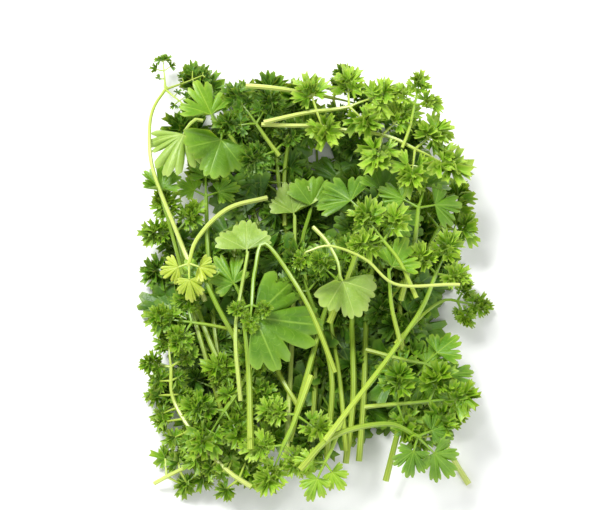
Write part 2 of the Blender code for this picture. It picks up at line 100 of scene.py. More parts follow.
# The sprigs and their plan routes are the same as in the solids, from the lowest to the topmost.
SPRIGS = (
    # Lowest layer: four sprigs lie level, and the dark ones cross over them. Their deep green is partly
    # painted shade.
    Sprig("ground_left", BROAD, DEEP, 27, ((-25, -50), (-36, -28), (-45, -5)), flat=True),
    Sprig("ground_right", BROAD, DEEP, 27, ((17, -15), (27, -31), (34, -41)), flat=True),
    Sprig("ground_top", BROAD, DEEP, 27, ((-8, -1), (-1, 30), (-1, 51)), flat=True),
    Sprig("ground_middle", BROAD, DEEP, 27, ((-12, -20), (-9, -31), (-6, -45)), flat=True),
    Sprig("under_top_left", CUT, DEEP, 29, ((-14, -55), (-21, 9), (-33, 51), (-41, 68)), 5),
    Sprig("under_top_right", BROAD, DEEP, 31, ((3, -60), (7, -5), (13, 22), (16, 38))),
    Sprig("under_right", CUT, DEEP, 27, ((9, -58), (23, -18), (35, 8))),
    Sprig("under_low_left", CUT, DEEP, 28, ((-32, 30), (-38, -14), (-43, -39))),
    Sprig("under_front", CUT, DEEP, 27, ((1, 21), (4, -22), (-1, -48))),
    Sprig("under_corner", BROAD, DEEP, 25, ((19, 29), (27, -12), (32, -34))),
    Sprig("under_back", CUT, DEEP, 28, ((-6, -13), (-15, 33), (-18, 60))),
    Sprig("under_back_right", CUT, DEEP, 28, ((32, -36), (29, 17), (25, 56)), 5),
    Sprig("under_left_edge", CUT, DEEP, 24, ((-34, -55), (-45, -22), (-53, 5))),
    # Middle layer: stems along the left edge, and the fronds and leaves all round.
    Sprig("stem_far_left", BROAD, FRESH, 18, ((-31, -72), (-40, -25), (-44, 14), (-45, 35)),
          girth=0.95),
    Sprig("stem_left", CUT, FRESH, 19, ((-22, -66), (-42, -25), (-51, 1), (-56, 20)), turn=8),
    Sprig("stem_arc_two", BROAD, MID, 15, ((-34, -62), (-47, -20), (-57, 16), (-62, 33)),
          1, turn=-20, girth=0.8),
    Sprig("top_middle", CUT, MID, 22, ((-14, 24), (-14, 46), (-12, 60)), girth=0.8),
    Sprig("corner_left", CUT, FRESH, 22, ((-63, -77), (-51, -72), (-33, -66)), girth=0.7),
    Sprig("corner_right", CUT, FRESH, 20, ((56, -77), (51, -69), (45, -59))),
    Sprig("low_cut", BROAD, FRESH, 23, ((24, -77), (29, -58), (34, -41)), turn=-20),
    Sprig("low_left_arc", CUT, FRESH, 17, ((-26, -80), (-35, -74), (-47, -61), (-56, -46), (-57, -34)),
          girth=0.8),
    Sprig("left_mid", CUT, FRESH, 19, ((-31, -21), (-42, -19), (-49, -18)), girth=0.65),
    Sprig("left_arc", CUT, DEEP, 19, ((-44, -10), (-56, 19), (-65, 42), (-67, 59), (-66, 70), (-62, 80)),
          turn=-45, girth=0.75),
    Sprig("left_leaf_three", BROAD, FRESH, 19, ((-29, 48), (-35, 58), (-42, 64)),
          1, turn=-25, girth=0.65),
    Sprig("left_leaf", BROAD, PALE, 21, ((-46, 62), (-49, 62), (-52, 58)), 1, turn=10, girth=0.65),
    Sprig("left_leaf_two", BROAD, MID, 21, ((-28, 64), (-35, 62), (-38, 56)), 1, turn=15, girth=0.65),
    Sprig("back_left_frond", CUT, DEEP, 21, ((-16, 48), (-20, 53), (-25, 60)), 5, girth=0.75),
    Sprig("rod_top", CUT, DEEP, 20, ((-29, 74), (-12, 73), (5, 72)), girth=0.85),
    Sprig("right_edge", CUT, FRESH, 20, ((23, -11), (38, 8), (46, 21)), girth=0.8),
    # The pale stems that run up through the middle.
    Sprig("stem_middle_left", BROAD, PALE, 16, ((-13, -71), (-11, -20), (-10, 13), (-10, 26)),
          1, turn=14, girth=0.85),
    Sprig("stem_middle", BROAD, MID, 16, ((-4, -69), (-2, -25), (-7, 12), (-4, 28)),
          1, turn=-6, girth=0.9),
    Sprig("stem_right", BROAD, DEEP, 25, ((14, -70), (16, -47), (18, -10), (22, 16))),
    Sprig("stem_middle_right", CUT, MID, 21, ((9, -71), (12, -46), (12, -17), (13, 7))),
    Sprig("stem_end", BROAD, MID, 16, ((9, -67), (7, -40), (4, -17), (2, 2)), 1, turn=-10, girth=0.75),
    Sprig("stem_centre", CUT, DEEP, 20, ((2, -69), (4, -41), (0, -21), (-5, -6)), girth=0.9),
    Sprig("stem_cross", BROAD, FRESH, 15, ((-9, -50), (-16, -38), (-26, -17), (-32, -5)),
          1, turn=10, girth=0.8),
    Sprig("stem_diagonal", BROAD, FRESH, 14, ((-21, -44), (-28, -32), (-38, -15), (-43, -5)),
          1, turn=12, girth=0.95),
    Sprig("stem_slant", CUT, FRESH, 18, ((-12, -64), (-5, -38), (0, -19), (6, -3))),
    # Upper layer: the broad leaves behind, then the bright fronds.
    Sprig("broad_back", BROAD, MID, 30, ((3, -20), (12, 2), (17, 21)), turn=-15),
    Sprig("broad_right", BROAD, MID, 23, ((30, -11), (35, 9), (37, 24)), turn=-10, girth=0.85),
    Sprig("right_low", BROAD, FRESH, 22, ((17, -28), (30, -32), (39, -34)), turn=-15, girth=0.75),
    Sprig("low_right_frond", CUT, FRESH, 20, ((16, -51), (30, -50), (40, -49)), 5, girth=0.7),
    Sprig("frond_right", CUT, BRIGHT, 23, ((-23, 59), (4, 58), (25, 53), (36, 47)), 5, girth=0.75),
    Sprig("frond_top", CUT, BRIGHT, 21, ((-22, 59), (-6, 63), (11, 65)), 5, turn=12, girth=0.8),
    Sprig("frond_tip", CUT, BRIGHT, 14, ((31, 47), (34, 55), (36, 64)), girth=0.55),
    Sprig("low_left_frond", CUT, FRESH, 22, ((-22, -27), (-30, -43), (-36, -52)), 5),
    Sprig("low_mid_frond", CUT, BRIGHT, 20, ((-4, -40), (-10, -57), (-14, -66)), 5),
    Sprig("low_front", BROAD, BRIGHT, 15, ((8, -56), (4, -67), (1, -73)), girth=0.7),
    Sprig("arc_right", BROAD, MID, 20, ((-8, -76), (4, -64), (24, -59), (35, -63)), turn=-25),
    # Topmost: the branch, the leaves that lie open and the stems that cross over everything.
    Sprig("right_leaf", CUT, FRESH, 15, ((28, -26), (40, -13), (48, -7), (53, -7)),
          turn=-32, girth=0.65),
    Sprig("main_branch", CUT, BRIGHT, 17, ((1, -66), (16, -46), (30, -26), (38, -14), (43, -2)),
          girth=0.9),
    Sprig("wedge_leaf", BROAD, FRESH, 15, ((29, -28), (26, -16), (25, -3)), 1, turn=-35, girth=0.7),
    Sprig("round_leaf", BROAD, PALE, 16, ((-30, -49), (-32, -22), (-28, 7)), 1, turn=16, girth=0.75),
    Sprig("flat_leaf", BROAD, MID, 30, ((-26, -68), (-27, -38), (-29, -18)), 1, turn=-104),
    Sprig("fold_over", CUT, FRESH, 12, ((5, -39), (-6, -12), (-21, 11), (-25, 0), (-26, -14)),
          girth=0.8),
    Sprig("frond_mid", CUT, BRIGHT, 18, ((35, -13), (29, 0), (23, 8)), girth=0.7),
    Sprig("pale_leaf", BROAD, PALE, 19, ((-3, 17), (2, 11), (6, 3), (7, -3)), 1, turn=6, girth=0.65),
    Sprig("cut_long", BROAD, YELLOW, 15, ((-21, 33), (-36, 26), (-47, 13), (-50, 3)),
          turn=24, girth=0.85),
    Sprig("loop", CUT, FRESH, 8, ((51, -8), (28, -9), (16, 0), (3, 5), (-6, 3)),
          1, turn=60, girth=0.55),
)


@dataclass
class Stem:
    """A round stem or a stalk: the points of its middle line and its radius at each."""

    points: np.ndarray
    radii: np.ndarray


@dataclass
class Blade:
    """A leaf blade with its stalk, as the solids have it."""

    start: np.ndarray
    base: np.ndarray
    rim: np.ndarray
    heading: float
    reach: float
    angles: np.ndarray
    ratios: np.ndarray
    slopes: np.ndarray

    @property
    def level_base(self) -> np.ndarray:
        """Where the blade and its stalk meet, before the sprig sags."""
        return np.append(self.base[:2], 0.0)


@dataclass
class Laid:
    """A sprig as it is laid: its stem and blades, the surface that it sags over and its height above that."""

    sprig: Sprig
    stem: Stem
    blades: list
    surface: np.ndarray | None = None
    lift: float = 0.0

    def point_sets(self) -> list:
        """Lists every array of its points, for changing them in place.

        Returns:
            The arrays.
        """
        blades = self.blades
        return [self.stem.points] + [blade.rim for blade in blades] + [blade.base[None] for blade in blades]


def heading_vector(degrees: float) -> np.ndarray:
    """Gives the plan direction of a heading, counted from +X towards +Y.

    Args:
        degrees: The heading.

    Returns:
        The direction as a pair of numbers.
    """
    return np.array([math.cos(math.radians(degrees)), math.sin(math.radians(degrees))])


def mirrored(*side: tuple) -> tuple:
    """Completes a leaf's outline, of which one half is given from the tip to the corner.

    Args:
        *side: Pairs of angle and share of the reach.

    Returns:
        The pairs from one corner to the other.
    """
    return tuple((-angle, share) for angle, share in reversed(side) if angle) + side


def smooth_route(route: tuple, step: float) -> np.ndarray:
    """Draws a smooth curve through a route's points.

    Args:
        route: Plan points of the route.
        step: Rough distance between the points wanted.

    Returns:
        Plan points along the curve, evenly spaced.
    """
    ends = [np.array(p, float) for p in route]
    ends = [2 * ends[0] - ends[1]] + ends + [2 * ends[-1] - ends[-2]]
    fine = []
    for a, b, c, d in zip(ends, ends[1:], ends[2:], ends[3:]):
        for t in np.linspace(0, 1, BunchLayout.route_divisions, endpoint=False):
            square, cube = 2 * a - 5 * b + 4 * c - d, 3 * b - a - 3 * c + d
            fine.append(b + (c - a) / 2 * t + square / 2 * t**2 + cube / 2 * t**3)
    fine.append(ends[-2])
    fine = np.array(fine)
    along = np.concatenate([[0], np.cumsum(np.linalg.norm(np.diff(fine, axis=0), axis=1))])
    wanted = np.linspace(0, along[-1], max(3, round(along[-1] / step) + 1))
    return np.column_stack([np.interp(wanted, along, fine[:, i]) for i in range(2)])


@dataclass
class Heap:
    """Height map of the top of what has been laid so far, over which the next sprig sags."""

    cell: float = 1.0
    half_x: float = 105.0
    half_y: float = 125.0
    uncovered: float = -1.0e6
    blade_samples: int = 26
    stem_samples_a_cell: int = 2
    rest_gap: float = 0.3
    sag_radius: float = 50.0
    sag_rounding: float = 3.0
    blade_thickness: float = 0.7

    def __post_init__(self) -> None:
        """Starts an empty heap, and sets out how a sprig drops and is smoothed along each axis."""
        self.counts = (round(2 * self.half_x / self.cell), round(2 * self.half_y / self.cell))
        self.top = np.full(self.counts, -self.rest_gap)
        self.drops, self.blurs = [], []
        for count in self.counts:
            steps = np.arange(count) * self.cell
            squares = (steps[:, None] - steps[None, :]) ** 2
            weights = np.exp(-squares / (2 * self.sag_rounding**2))
            self.drops.append(squares / (2 * self.sag_radius))
            self.blurs.append(weights / weights.sum(axis=1, keepdims=True))

    def cells(self, points: np.ndarray) -> tuple:
        """Finds the cell of each point.

        Args:
            points: Points, with x and y first.

        Returns:
            Two arrays of indices.
        """
        index = np.floor((points[..., :2] + (self.half_x, self.half_y)) / self.cell).astype(int)
        return index[..., 0].ravel(), index[..., 1].ravel()

    def samples(self, one: Laid) -> list:
        """Takes points all over a sprig.

        Args:
            one: The sprig.

        Returns:
            Pairs of points and half the thickness there.
        """
        taken = []
        stem = one.stem
        steps = range(self.blade_samples)
        pairs = np.array([(a, b) for a in steps for b in steps if a + b < self.blade_samples])
        pairs = pairs / (self.blade_samples - 1)
        for blade in one.blades:
            beside = np.roll(blade.rim, -1, axis=0)
            first = pairs[:, 0, None, None] * (blade.rim - blade.base)
            second = pairs[:, 1, None, None] * (beside - blade.base)
            taken.append((blade.base + first + second, self.blade_thickness / 2))
        lengths = np.linalg.norm(np.diff(stem.points, axis=0), axis=1)
        along = np.concatenate([[0], np.cumsum(lengths)])
        wanted = np.linspace(0, along[-1], int(self.stem_samples_a_cell * along[-1] / self.cell))
        middle = np.column_stack([np.interp(wanted, along, stem.points[:, i]) for i in range(3)])
        radii = np.interp(wanted, along, stem.radii)
        run = np.gradient(middle[:, :2], axis=0)
        across = np.column_stack([-run[:, 1], run[:, 0]])
        across *= (radii / np.linalg.norm(across, axis=1))[:, None]
        for side in (-1, 0, 1):
            taken.append((middle + np.column_stack([side * across, np.zeros(len(middle))]), radii))
        return taken

    def spans(self, one: Laid) -> tuple:
        """Maps a sprig's underside and upper side.

        Args:
            one: The sprig.

        Returns:
            Maps of the lowest and the highest point in each cell.
        """
        low = np.full(self.counts, -self.uncovered)
        high = np.full(self.counts, self.uncovered)
        for points, half in self.samples(one):
            where = self.cells(points)
            heights = points[..., 2].ravel()
            half = np.broadcast_to(half, points.shape[:-1]).ravel()
            np.minimum.at(low, where, heights - half)
            np.maximum.at(high, where, heights + half)
        return low, high

    def sag_over(self, low: np.ndarray) -> np.ndarray:
        """Gives the smooth surface that a sprig takes when it rests on the heap.

        Args:
            low: Map of the sprig's underside.

        Returns:
            Map of the surface's height.
        """
        need = np.where(low < -self.uncovered, self.top + self.rest_gap - low, self.uncovered)
        along_x = np.stack([(need - drop[:, None]).max(axis=0) for drop in self.drops[0]])
        along_y = np.stack([(along_x - drop[None, :]).max(axis=1) for drop in self.drops[1]], axis=1)
        return self.blurs[0] @ along_y @ self.blurs[1].T

    def height_at(self, surface: np.ndarray, points: np.ndarray) -> np.ndarray:
        """Reads a surface between the middles of its cells.

        Args:
            surface: Map of heights.
            points: Points, with x and y first.

        Returns:
            The height at each point.
        """
        spots = (points[:, :2] + (self.half_x, self.half_y)) / self.cell - 0.5
        index = np.floor(spots).astype(int)
        part = spots - index
        total = np.zeros(len(points))
        for dx in (0, 1):
            for dy in (0, 1):
                weight = np.abs(1 - dx - part[:, 0]) * np.abs(1 - dy - part[:, 1])
                total += weight * surface[index[:, 0] + dx, index[:, 1] + dy]
        return total

    def lay(self, one: Laid) -> None:
        """Moves a sprig down on to the heap, in place, and adds it to the map.

        Args:
            one: The sprig, level until now.
        """
        low, _ = self.spans(one)
        one.surface = np.zeros(self.counts) if one.sprig.flat else self.sag_over(low)
        for points in one.point_sets():
            points[:, 2] += self.height_at(one.surface, points)
        low, high = self.spans(one)
        one.lift = (self.top + self.rest_gap - low)[low < -self.uncovered].max()
        for points in one.point_sets():
            points[:, 2] += one.lift
        self.top = np.maximum(self.top, self.widened(high + one.lift))

    @staticmethod
    def widened(surface: np.ndarray) -> np.ndarray:
        """Raises each cell of a map to the highest of its neighbours.

        Args:
            surface: Map of heights.

        Returns:
            The raised map.
        """
        rows = np.maximum(surface, np.maximum(np.roll(surface, 1, axis=0), np.roll(surface, -1, axis=0)))
        return np.maximum(rows, np.maximum(np.roll(rows, 1, axis=1), np.roll(rows, -1, axis=1)))


# Edge of a solid's blade: angles in degrees from its tip and shares of its reach.
BLADE_EDGES = {
    CUT: mirrored((0.0, 1.0), (16.0, 0.58), (33.0, 0.9), (51.0, 0.47), (70.0, 0.74), (112.0, 0.1)),
    BROAD: mirrored((0.0, 1.0), (16.0, 0.76), (33.0, 0.95), (51.0, 0.6), (69.0, 0.74), (108.0, 0.12)),
}


@dataclass
class BunchLayout:
    """Lays the sprigs one after another, by the same rules and draws as the solids.

    The lengths of stalks and blades are shares of a leaf's reach. Slopes are rise over run, and angles in
    degrees.
    """

    stalk_half_width: float = 0.55
    cut_end_radius: float = 1.2
    leaf_end_radius: float = 0.85
    stem_tip: float = 1.4
    stem_step: float = 14.0
    route_divisions: int = 24
    middle_stalk: float = 0.42
    middle_blade: float = 0.58
    side_stalk: float = 0.28
    side_blade: float = 0.52
    side_angle: float = 68.0
    lower_pair_back: float = 0.6
    lower_pair_turn: float = 14.0
    only_stalk: float = 0.14
    side_angle_spread: float = 7.0
    lower_angle_spread: float = 9.0
    lobe_angle_spread: float = 2.0
    lobe_length_spread: float = 0.08
    lowest_pitch: float = -0.12
    highest_pitch: float = 0.3
    roll_spread: float = 0.38
    lobe_slope_spread: float = 0.2
    cut_rise: float = 0.2

    def __post_init__(self) -> None:
        """Lays the whole bunch and finds its middle."""
        self.heap = Heap()
        self.laid = [self.level_sprig(sprig) for sprig in SPRIGS]
        for one in self.laid:
            self.heap.lay(one)
        reached = np.concatenate([points for one in self.laid for points in one.point_sets()])
        self.middle = ((reached.min(axis=0) + reached.max(axis=0)) / 2)[:2]

    def level_blade(self, start: np.ndarray, heading: float, stalk: float, reach: float,
                    sprig: Sprig, draw: random.Random) -> Blade:
        """Sets out one blade on a level surface.

        Args:
            start: Where its stalk leaves the stem.
            heading: Direction of its stalk.
            stalk: Length of its stalk.
            reach: Length of the blade beyond its stalk.
            sprig: The sprig that it belongs to.
            draw: The sprig's random draws.

        Returns:
            The blade.
        """
        ahead = heading_vector(heading)
        base = np.append(start[:2] + stalk * ahead, start[2])
        pitch = draw.uniform(self.lowest_pitch, self.highest_pitch)
        roll = draw.uniform(-self.roll_spread, self.roll_spread)
        rim, angles, ratios, slopes = [], [], [], []
        for angle, share in BLADE_EDGES[sprig.kind]:
            ratio = 1 + draw.uniform(-self.lobe_length_spread, self.lobe_length_spread)
            turned = angle + draw.uniform(-self.lobe_angle_spread, self.lobe_angle_spread)
            spot = base[:2] + reach * share * ratio * heading_vector(heading + turned)
            slope = pitch * math.cos(math.radians(angle)) + roll * math.sin(math.radians(angle))
            slope += draw.uniform(-self.lobe_slope_spread, self.lobe_slope_spread)
            slope += 0.0 if sprig.kind is BROAD else self.cut_rise
            slope = 0.0 if sprig.flat else slope
            rim.append((*spot, base[2] + slope * reach * share * ratio))
            angles.append(turned)
            ratios.append(ratio)
            slopes.append(slope)
        across = self.stalk_half_width * np.array([-ahead[1], ahead[0]])
        rim += [(*(start[:2] + side * across), start[2]) for side in (1, -1)]
        shape = [np.array(values) for values in (angles, ratios, slopes)]
        return Blade(start.copy(), base, np.array(rim), heading, reach, *shape)

    def level_sprig(self, sprig: Sprig) -> Laid:
        """Sets out a sprig as if it lay on a level surface, before it sags.

        Args:
            sprig: The sprig.

        Returns:
            The sprig with its stem and blades.
        """
        draw = random.Random(sprig.name)
        plan = smooth_route(sprig.route, self.stem_step)
        last = plan[-1] - plan[-2]
        last /= np.linalg.norm(last)
        node = np.append(plan[-1], 0.0)
        plan = np.vstack([plan, plan[-1] + self.stem_tip * last])
        radii = sprig.girth * np.linspace(self.cut_end_radius, self.leaf_end_radius, len(plan))
        heights = radii - Heap.blade_thickness / 2 if sprig.flat else np.zeros(len(plan))
        stem = Stem(np.column_stack([plan, heights]), radii)
        heading = math.degrees(math.atan2(last[1], last[0])) + sprig.turn
        if sprig.blades == 1:
            parts = [(node, heading, self.only_stalk, 1 - self.only_stalk)]
        else:
            parts = [(node, heading, self.middle_stalk, self.middle_blade)]
            for side in (-1, 1):
                angle = heading + side * self.side_angle
                angle += draw.uniform(-self.side_angle_spread, self.side_angle_spread)
                parts.append((node, angle, self.side_stalk, self.side_blade))
        if sprig.blades == 5:
            back = node - np.append(last, 0.0) * self.lower_pair_back * sprig.reach
            for side in (-1, 1):
                angle = heading + side * (self.side_angle + self.lower_pair_turn)
                angle += draw.uniform(-self.lower_angle_spread, self.lower_angle_spread)
                parts.append((back, angle, self.side_stalk, self.side_blade))
        return Laid(sprig, stem, [
            self.level_blade(start, angle, stalk * sprig.reach, blade * sprig.reach, sprig, draw)
            for start, angle, stalk, blade in parts
        ])


@dataclass
class Patch:
    """Faces and points of a piece of surface, before it becomes part of a mesh."""

    points: np.ndarray
    faces: list
    uvs: np.ndarray
    materials: np.ndarray


def read(items: bpy.types.bpy_prop_collection, name: str, width: int, kind: type = float) -> np.ndarray:
    """Reads one property of every item of a mesh.

    Args:
        items: The mesh's points, corners or faces.
        name: The property's name.
        width: How many numbers it has.
        kind: The kind of its numbers.

    Returns:
        The numbers, in a row for each item where there are more than one.
    """
    values = np.zeros(len(items) * width, kind)
    items.foreach_get(name, values)
    return values.reshape(-1, width) if width > 1 else values


def store(mesh: bpy.types.Mesh, name: str, values: np.ndarray) -> None:
    """Stores a number for each point of a mesh, for the materials to read.

    Args:
        mesh: The mesh.
        name: The attribute's name.
        values: The numbers.
    """
    mesh.attributes.new(name, "FLOAT", "POINT").data.foreach_set("value", values)


def new_object(name: str, data: bpy.types.ID) -> bpy.types.Object:
    """Puts a new object into the scene.

    Args:
        name: Its name.
        data: Its mesh or curve.

    Returns:
        The object.
    """
    piece = bpy.data.objects.new(name, data)
    bpy.context.scene.collection.objects.link(piece)
    return piece


def merge_points(distance: float, outwards: bool) -> None:
    """Merges the points of the active mesh that lie together.

    Args:
        distance: How near they lie.
        outwards: Whether its faces are turned outwards afterwards.
    """
    bpy.ops.object.mode_set(mode="EDIT")
    bpy.ops.mesh.select_all(action="SELECT")
    bpy.ops.mesh.remove_doubles(threshold=distance)
    if outwards:
        bpy.ops.mesh.normals_make_consistent(inside=False)
    bpy.ops.object.mode_set(mode="OBJECT")


def patch_of(mesh: bpy.types.Mesh) -> Patch:
    """Reads a mesh.

    Args:
        mesh: The mesh, with one UV map.

    Returns:
        Its points, faces, UVs and material numbers.
    """
    faces = [tuple(face.vertices) for face in mesh.polygons]
    materials = read(mesh.polygons, "material_index", 1, int)
    return Patch(read(mesh.vertices, "co", 3), faces, read(mesh.uv_layers[0].data, "uv", 2), materials)


def open_edges(mesh: bpy.types.Mesh) -> list:
    """Finds the edges that only one face has.

    Args:
        mesh: The mesh.

    Returns:
        The two points of each.
    """
    uses = {}
    for face in mesh.polygons:
        for key in face.edge_keys:
            uses[key] = uses.get(key, 0) + 1
    return [key for key, count in uses.items() if count == 1]


@dataclass(frozen=True)
class LobeEdge:
    """Outline of a lobed blade, from one corner of its base round its tip to the other.

    A lobe or a notch between two is an angle in degrees from the tip and a share of the blade's reach. Each
    lobe has the same number of teeth, and each tooth the same number of points. The depths of the cuts
    between them and the crown, which is how much shorter a lobe's outer teeth are, are shares of the lobe's
    length. A high bluntness gives square teeth, and 2 gives round ones. A gather above 1 draws each lobe
    together, so that a gap opens beside it. The spreads say how far a varied outline may differ.
    """

    lobes: tuple
    notches: tuple
    teeth: int
    depth: float
    crown: float
    bluntness: float
    steps_a_tooth: int
    points: int = 1
    point_depth: float = 0.0
    gather: float = 1.0
    turn_spread: float = 0.12
    lobe_spread: tuple = (0.86, 1.04)
    notch_spread: tuple = (0.85, 1.12)

    def varied(self, draw: random.Random) -> "LobeEdge":
        """Draws an outline of the same kind that differs a little.

        Args:
            draw: The random draws.

        Returns:
            The new outline.
        """
        turn = self.turn_spread * abs(self.notches[1][0] - self.notches[0][0])
        lobes = tuple(
            (angle + draw.uniform(-turn, turn), share * draw.uniform(*self.lobe_spread))
            for angle, share in self.lobes
        )
        notches = tuple((angle, share * draw.uniform(*self.notch_spread)) for angle, share in self.notches)
        return replace(self, lobes=lobes, notches=notches)

    def at(self, across: np.ndarray) -> tuple:
        """Reads the outline.

        Args:
            across: Places from one corner (0) to the other (1).

        Returns:
            The angle, the share of the reach and the place in the lobe, from -1 to 1, at each.
        """
        count = len(self.lobes)
        index = np.minimum((across * count).astype(int), count - 1)
        place = 2 * (across * count - index) - 1
        lobe_angles, lobe_shares = np.array(self.lobes).T
        notch_angles, notch_shares = np.array(self.notches).T
        beside = np.where(place < 0, index, index + 1)
        aside = np.abs(place)
        turned = aside**self.gather
        angle = (1 - turned) * lobe_angles[index] + turned * notch_angles[beside]
        in_tooth = np.abs(2 * np.mod((place + 1) / 2 * self.teeth, 1) - 1)
        in_point = np.abs(2 * np.mod((place + 1) / 2 * self.teeth * self.points, 1) - 1)
        cut = 1 - self.depth * in_tooth**self.bluntness - self.point_depth * in_point**2
        full = lobe_shares[index] * (1 - self.crown * aside**2) * cut
        outer = 1 - 1 / self.teeth
        closing = np.clip((aside - outer) * self.teeth, 0, 1) ** self.bluntness
        return angle, (1 - closing) * full + closing * notch_shares[beside], place


# A curly leaflet: three narrow lobes apart from each other, each slit into three blunt fingers.
CURLY_EDGE = LobeEdge(
    mirrored((0.0, 1.0), (64.0, 0.84)), mirrored((33.0, 0.26), (98.0, 0.2)),
    teeth=3, depth=0.25, crown=0.2, bluntness=3.0, steps_a_tooth=3, gather=1.4,
)
# The same with five lobes, each slit once, as at the end of a side stalk.
CURLY_WIDE_EDGE = LobeEdge(
    mirrored((0.0, 1.0), (47.0, 0.9), (90.0, 0.7)), mirrored((24.0, 0.36), (69.0, 0.3), (116.0, 0.18)),
    teeth=2, depth=0.17, crown=0.06, bluntness=2.0, steps_a_tooth=2, gather=1.15,
)
# A broad blade of three main lobes, parted deeply and toothed, which narrows to a wedge at its stalk.
THREE_LOBED_EDGE = LobeEdge(
    mirrored((0.0, 1.0), (58.0, 0.84)), mirrored((30.0, 0.36), (92.0, 0.16)),
    teeth=3, depth=0.2, crown=0.2, bluntness=2.4, steps_a_tooth=6, points=2, point_depth=0.05,
)
# A broad blade of five lobes, the outer ones smaller.
FIVE_LOBED_EDGE = LobeEdge(
    mirrored((0.0, 1.0), (42.0, 0.88), (84.0, 0.62)), mirrored((22.0, 0.46), (63.0, 0.36), (112.0, 0.14)),
    teeth=3, depth=0.14, crown=0.2, bluntness=2.4, steps_a_tooth=4,
)
# A fan: a broad blade hardly notched, with a scalloped edge that waves.
FAN_EDGE = LobeEdge(
    mirrored((0.0, 1.0), (54.0, 0.88)), mirrored((27.0, 0.7), (90.0, 0.2)),
    teeth=4, depth=0.1, crown=0.14, bluntness=2.0, steps_a_tooth=4,
)
# A wide flat blade of three lobes that are hardly parted.
PLATE_EDGE = LobeEdge(
    mirrored((0.0, 1.0), (60.0, 0.86)), mirrored((31.0, 0.46), (96.0, 0.2)),
    teeth=3, depth=0.15, crown=0.18, bluntness=2.2, steps_a_tooth=6, points=2, point_depth=0.04,
)
# A small plain leaf of the dark inside of the bunch.
INNER_EDGE = LobeEdge(
    mirrored((0.0, 1.0), (54.0, 0.84)), mirrored((26.0, 0.42), (90.0, 0.16)),
    teeth=2, depth=0.16, crown=0.08, bluntness=3.0, steps_a_tooth=3,
)


@dataclass(frozen=True)
class LeafPattern:
    """One modelled leaf blade of unit reach, with its tip towards +X, that is copied to many places.

    The heights are shares of the reach: pleat is the groove along each vein, lobe_rise and tooth_rise how far
    lobes and teeth stand up at random, ruffle the wave round the edge, cup how far the edge stands up all
    round, droop how far the tip hangs, and fold how far the two halves stand up beside the middle vein. The
    core is the share of the reach within which all rings but the last stay. The rings crowd towards the edge
    by ring_spread. Points nearer than base_merge become one at the base, and nearer than edge_merge at the
    edge.
    """

    edge: LobeEdge
    rings: int
    thickness: float
    seed: str
    pleat: float = 0.03
    lobe_rise: tuple = (-0.14, 0.14)
    tooth_rise: float = 0.03
    ruffle: float = 0.05
    waves: float = 4.0
    cup: float = 0.0
    droop: float = 0.15
    fold: tuple = (-0.25, 0.4)
    core: float = 1.0
    pleat_level: float = 0.35
    ring_spread: float = 0.8
    last_ring: float = 0.99
    base_merge: float = 0.002
    edge_merge: float = 0.0005

    def heights(self, across: np.ndarray, out: np.ndarray, place: np.ndarray) -> np.ndarray:
        """Works out the relief of the blade.

        Args:
            across: Places from one corner (0) to the other (1).
            out: Places from the base (0) to the edge (1).
            place: Places in the lobe, from -1 to 1.

        Returns:
            Heights as shares of the reach.
        """
        draw = random.Random(self.seed)
        lobes = len(self.edge.lobes)
        teeth = lobes * self.edge.teeth
        rises = np.array([draw.uniform(*self.lobe_rise) for _ in range(lobes)])
        tooth_rises = np.array([draw.uniform(-self.tooth_rise, self.tooth_rise) for _ in range(teeth)])
        phase = draw.uniform(0, 2 * math.pi)
        relief = self.pleat * out * (np.abs(place) - self.pleat_level)
        relief += draw.uniform(*self.fold) * out * np.abs(2 * across - 1)
        relief += np.interp(across * lobes - 0.5, np.arange(lobes), rises) * out**2
        relief += np.interp(across * teeth - 0.5, np.arange(teeth), tooth_rises) * out**3
        relief += self.ruffle * np.sin(2 * math.pi * self.waves * across + phase) * out**2
        relief += self.cup * out**2.5 - self.droop * out**2 * np.cos(math.pi * (across - 0.5))
        return relief

    def sheet(self) -> bpy.types.Object:
        """Draws a grid out to the lobed outline, with its UVs measured from the nearest vein.

        Returns:
            The object, closed to a point at its base.
        """
        edge = self.edge.varied(random.Random(self.seed + " edge"))
        columns = edge.steps_a_tooth * edge.teeth * len(edge.lobes)
        bpy.ops.mesh.primitive_grid_add(x_subdivisions=columns, y_subdivisions=self.rings, size=2.0)
        blade = bpy.context.object
        across, out = (read(blade.data.vertices, "co", 3)[:, :2].T + 1) / 2
        out = out**self.ring_spread
        across = np.clip(1 - across, 0, 1)
        angle, share, place = edge.at(across)
        share = np.where(out > self.last_ring, share, np.minimum(share, self.core))
        turned = np.radians(angle)
        made = np.column_stack([
            out * share * np.cos(turned),
            out * share * np.sin(turned),
            self.heights(across, out, place),
        ])
        blade.data.vertices.foreach_set("co", made.ravel())
        vein = np.column_stack([np.abs(place), out])
        corner = read(blade.data.loops, "vertex_index", 1, int)
        blade.data.uv_layers[0].data.foreach_set("uv", vein[corner].ravel())
        merge_points(self.base_merge, outwards=True)
        if sum(face.normal.z * face.area for face in blade.data.polygons) < 0:
            blade.data.flip_normals()
        return blade

    def build(self) -> Patch:
        """Models the blade and gives it its thickness, which runs out to nothing at its edge.

        Returns:
            The finished surface.
        """
        blade = self.sheet()
        edges = {v for edge in open_edges(blade.data) for v in edge}
        inside = [v for v in range(len(blade.data.vertices)) if v not in edges]
        blade.vertex_groups.new(name="inside").add(inside, 1.0, "REPLACE")
        wall = blade.modifiers.new("wall", "SOLIDIFY")
        wall.thickness = self.thickness
        wall.offset = 0.0
        wall.use_rim = False
        wall.vertex_group = "inside"
        wall.material_offset = 1
        for _ in range(2):
            blade.data.materials.append(None)
        bpy.ops.object.modifier_apply(modifier=wall.name)
        merge_points(self.edge_merge, outwards=False)
        patch = patch_of(blade.data)
        bpy.data.objects.remove(blade)
        return patch


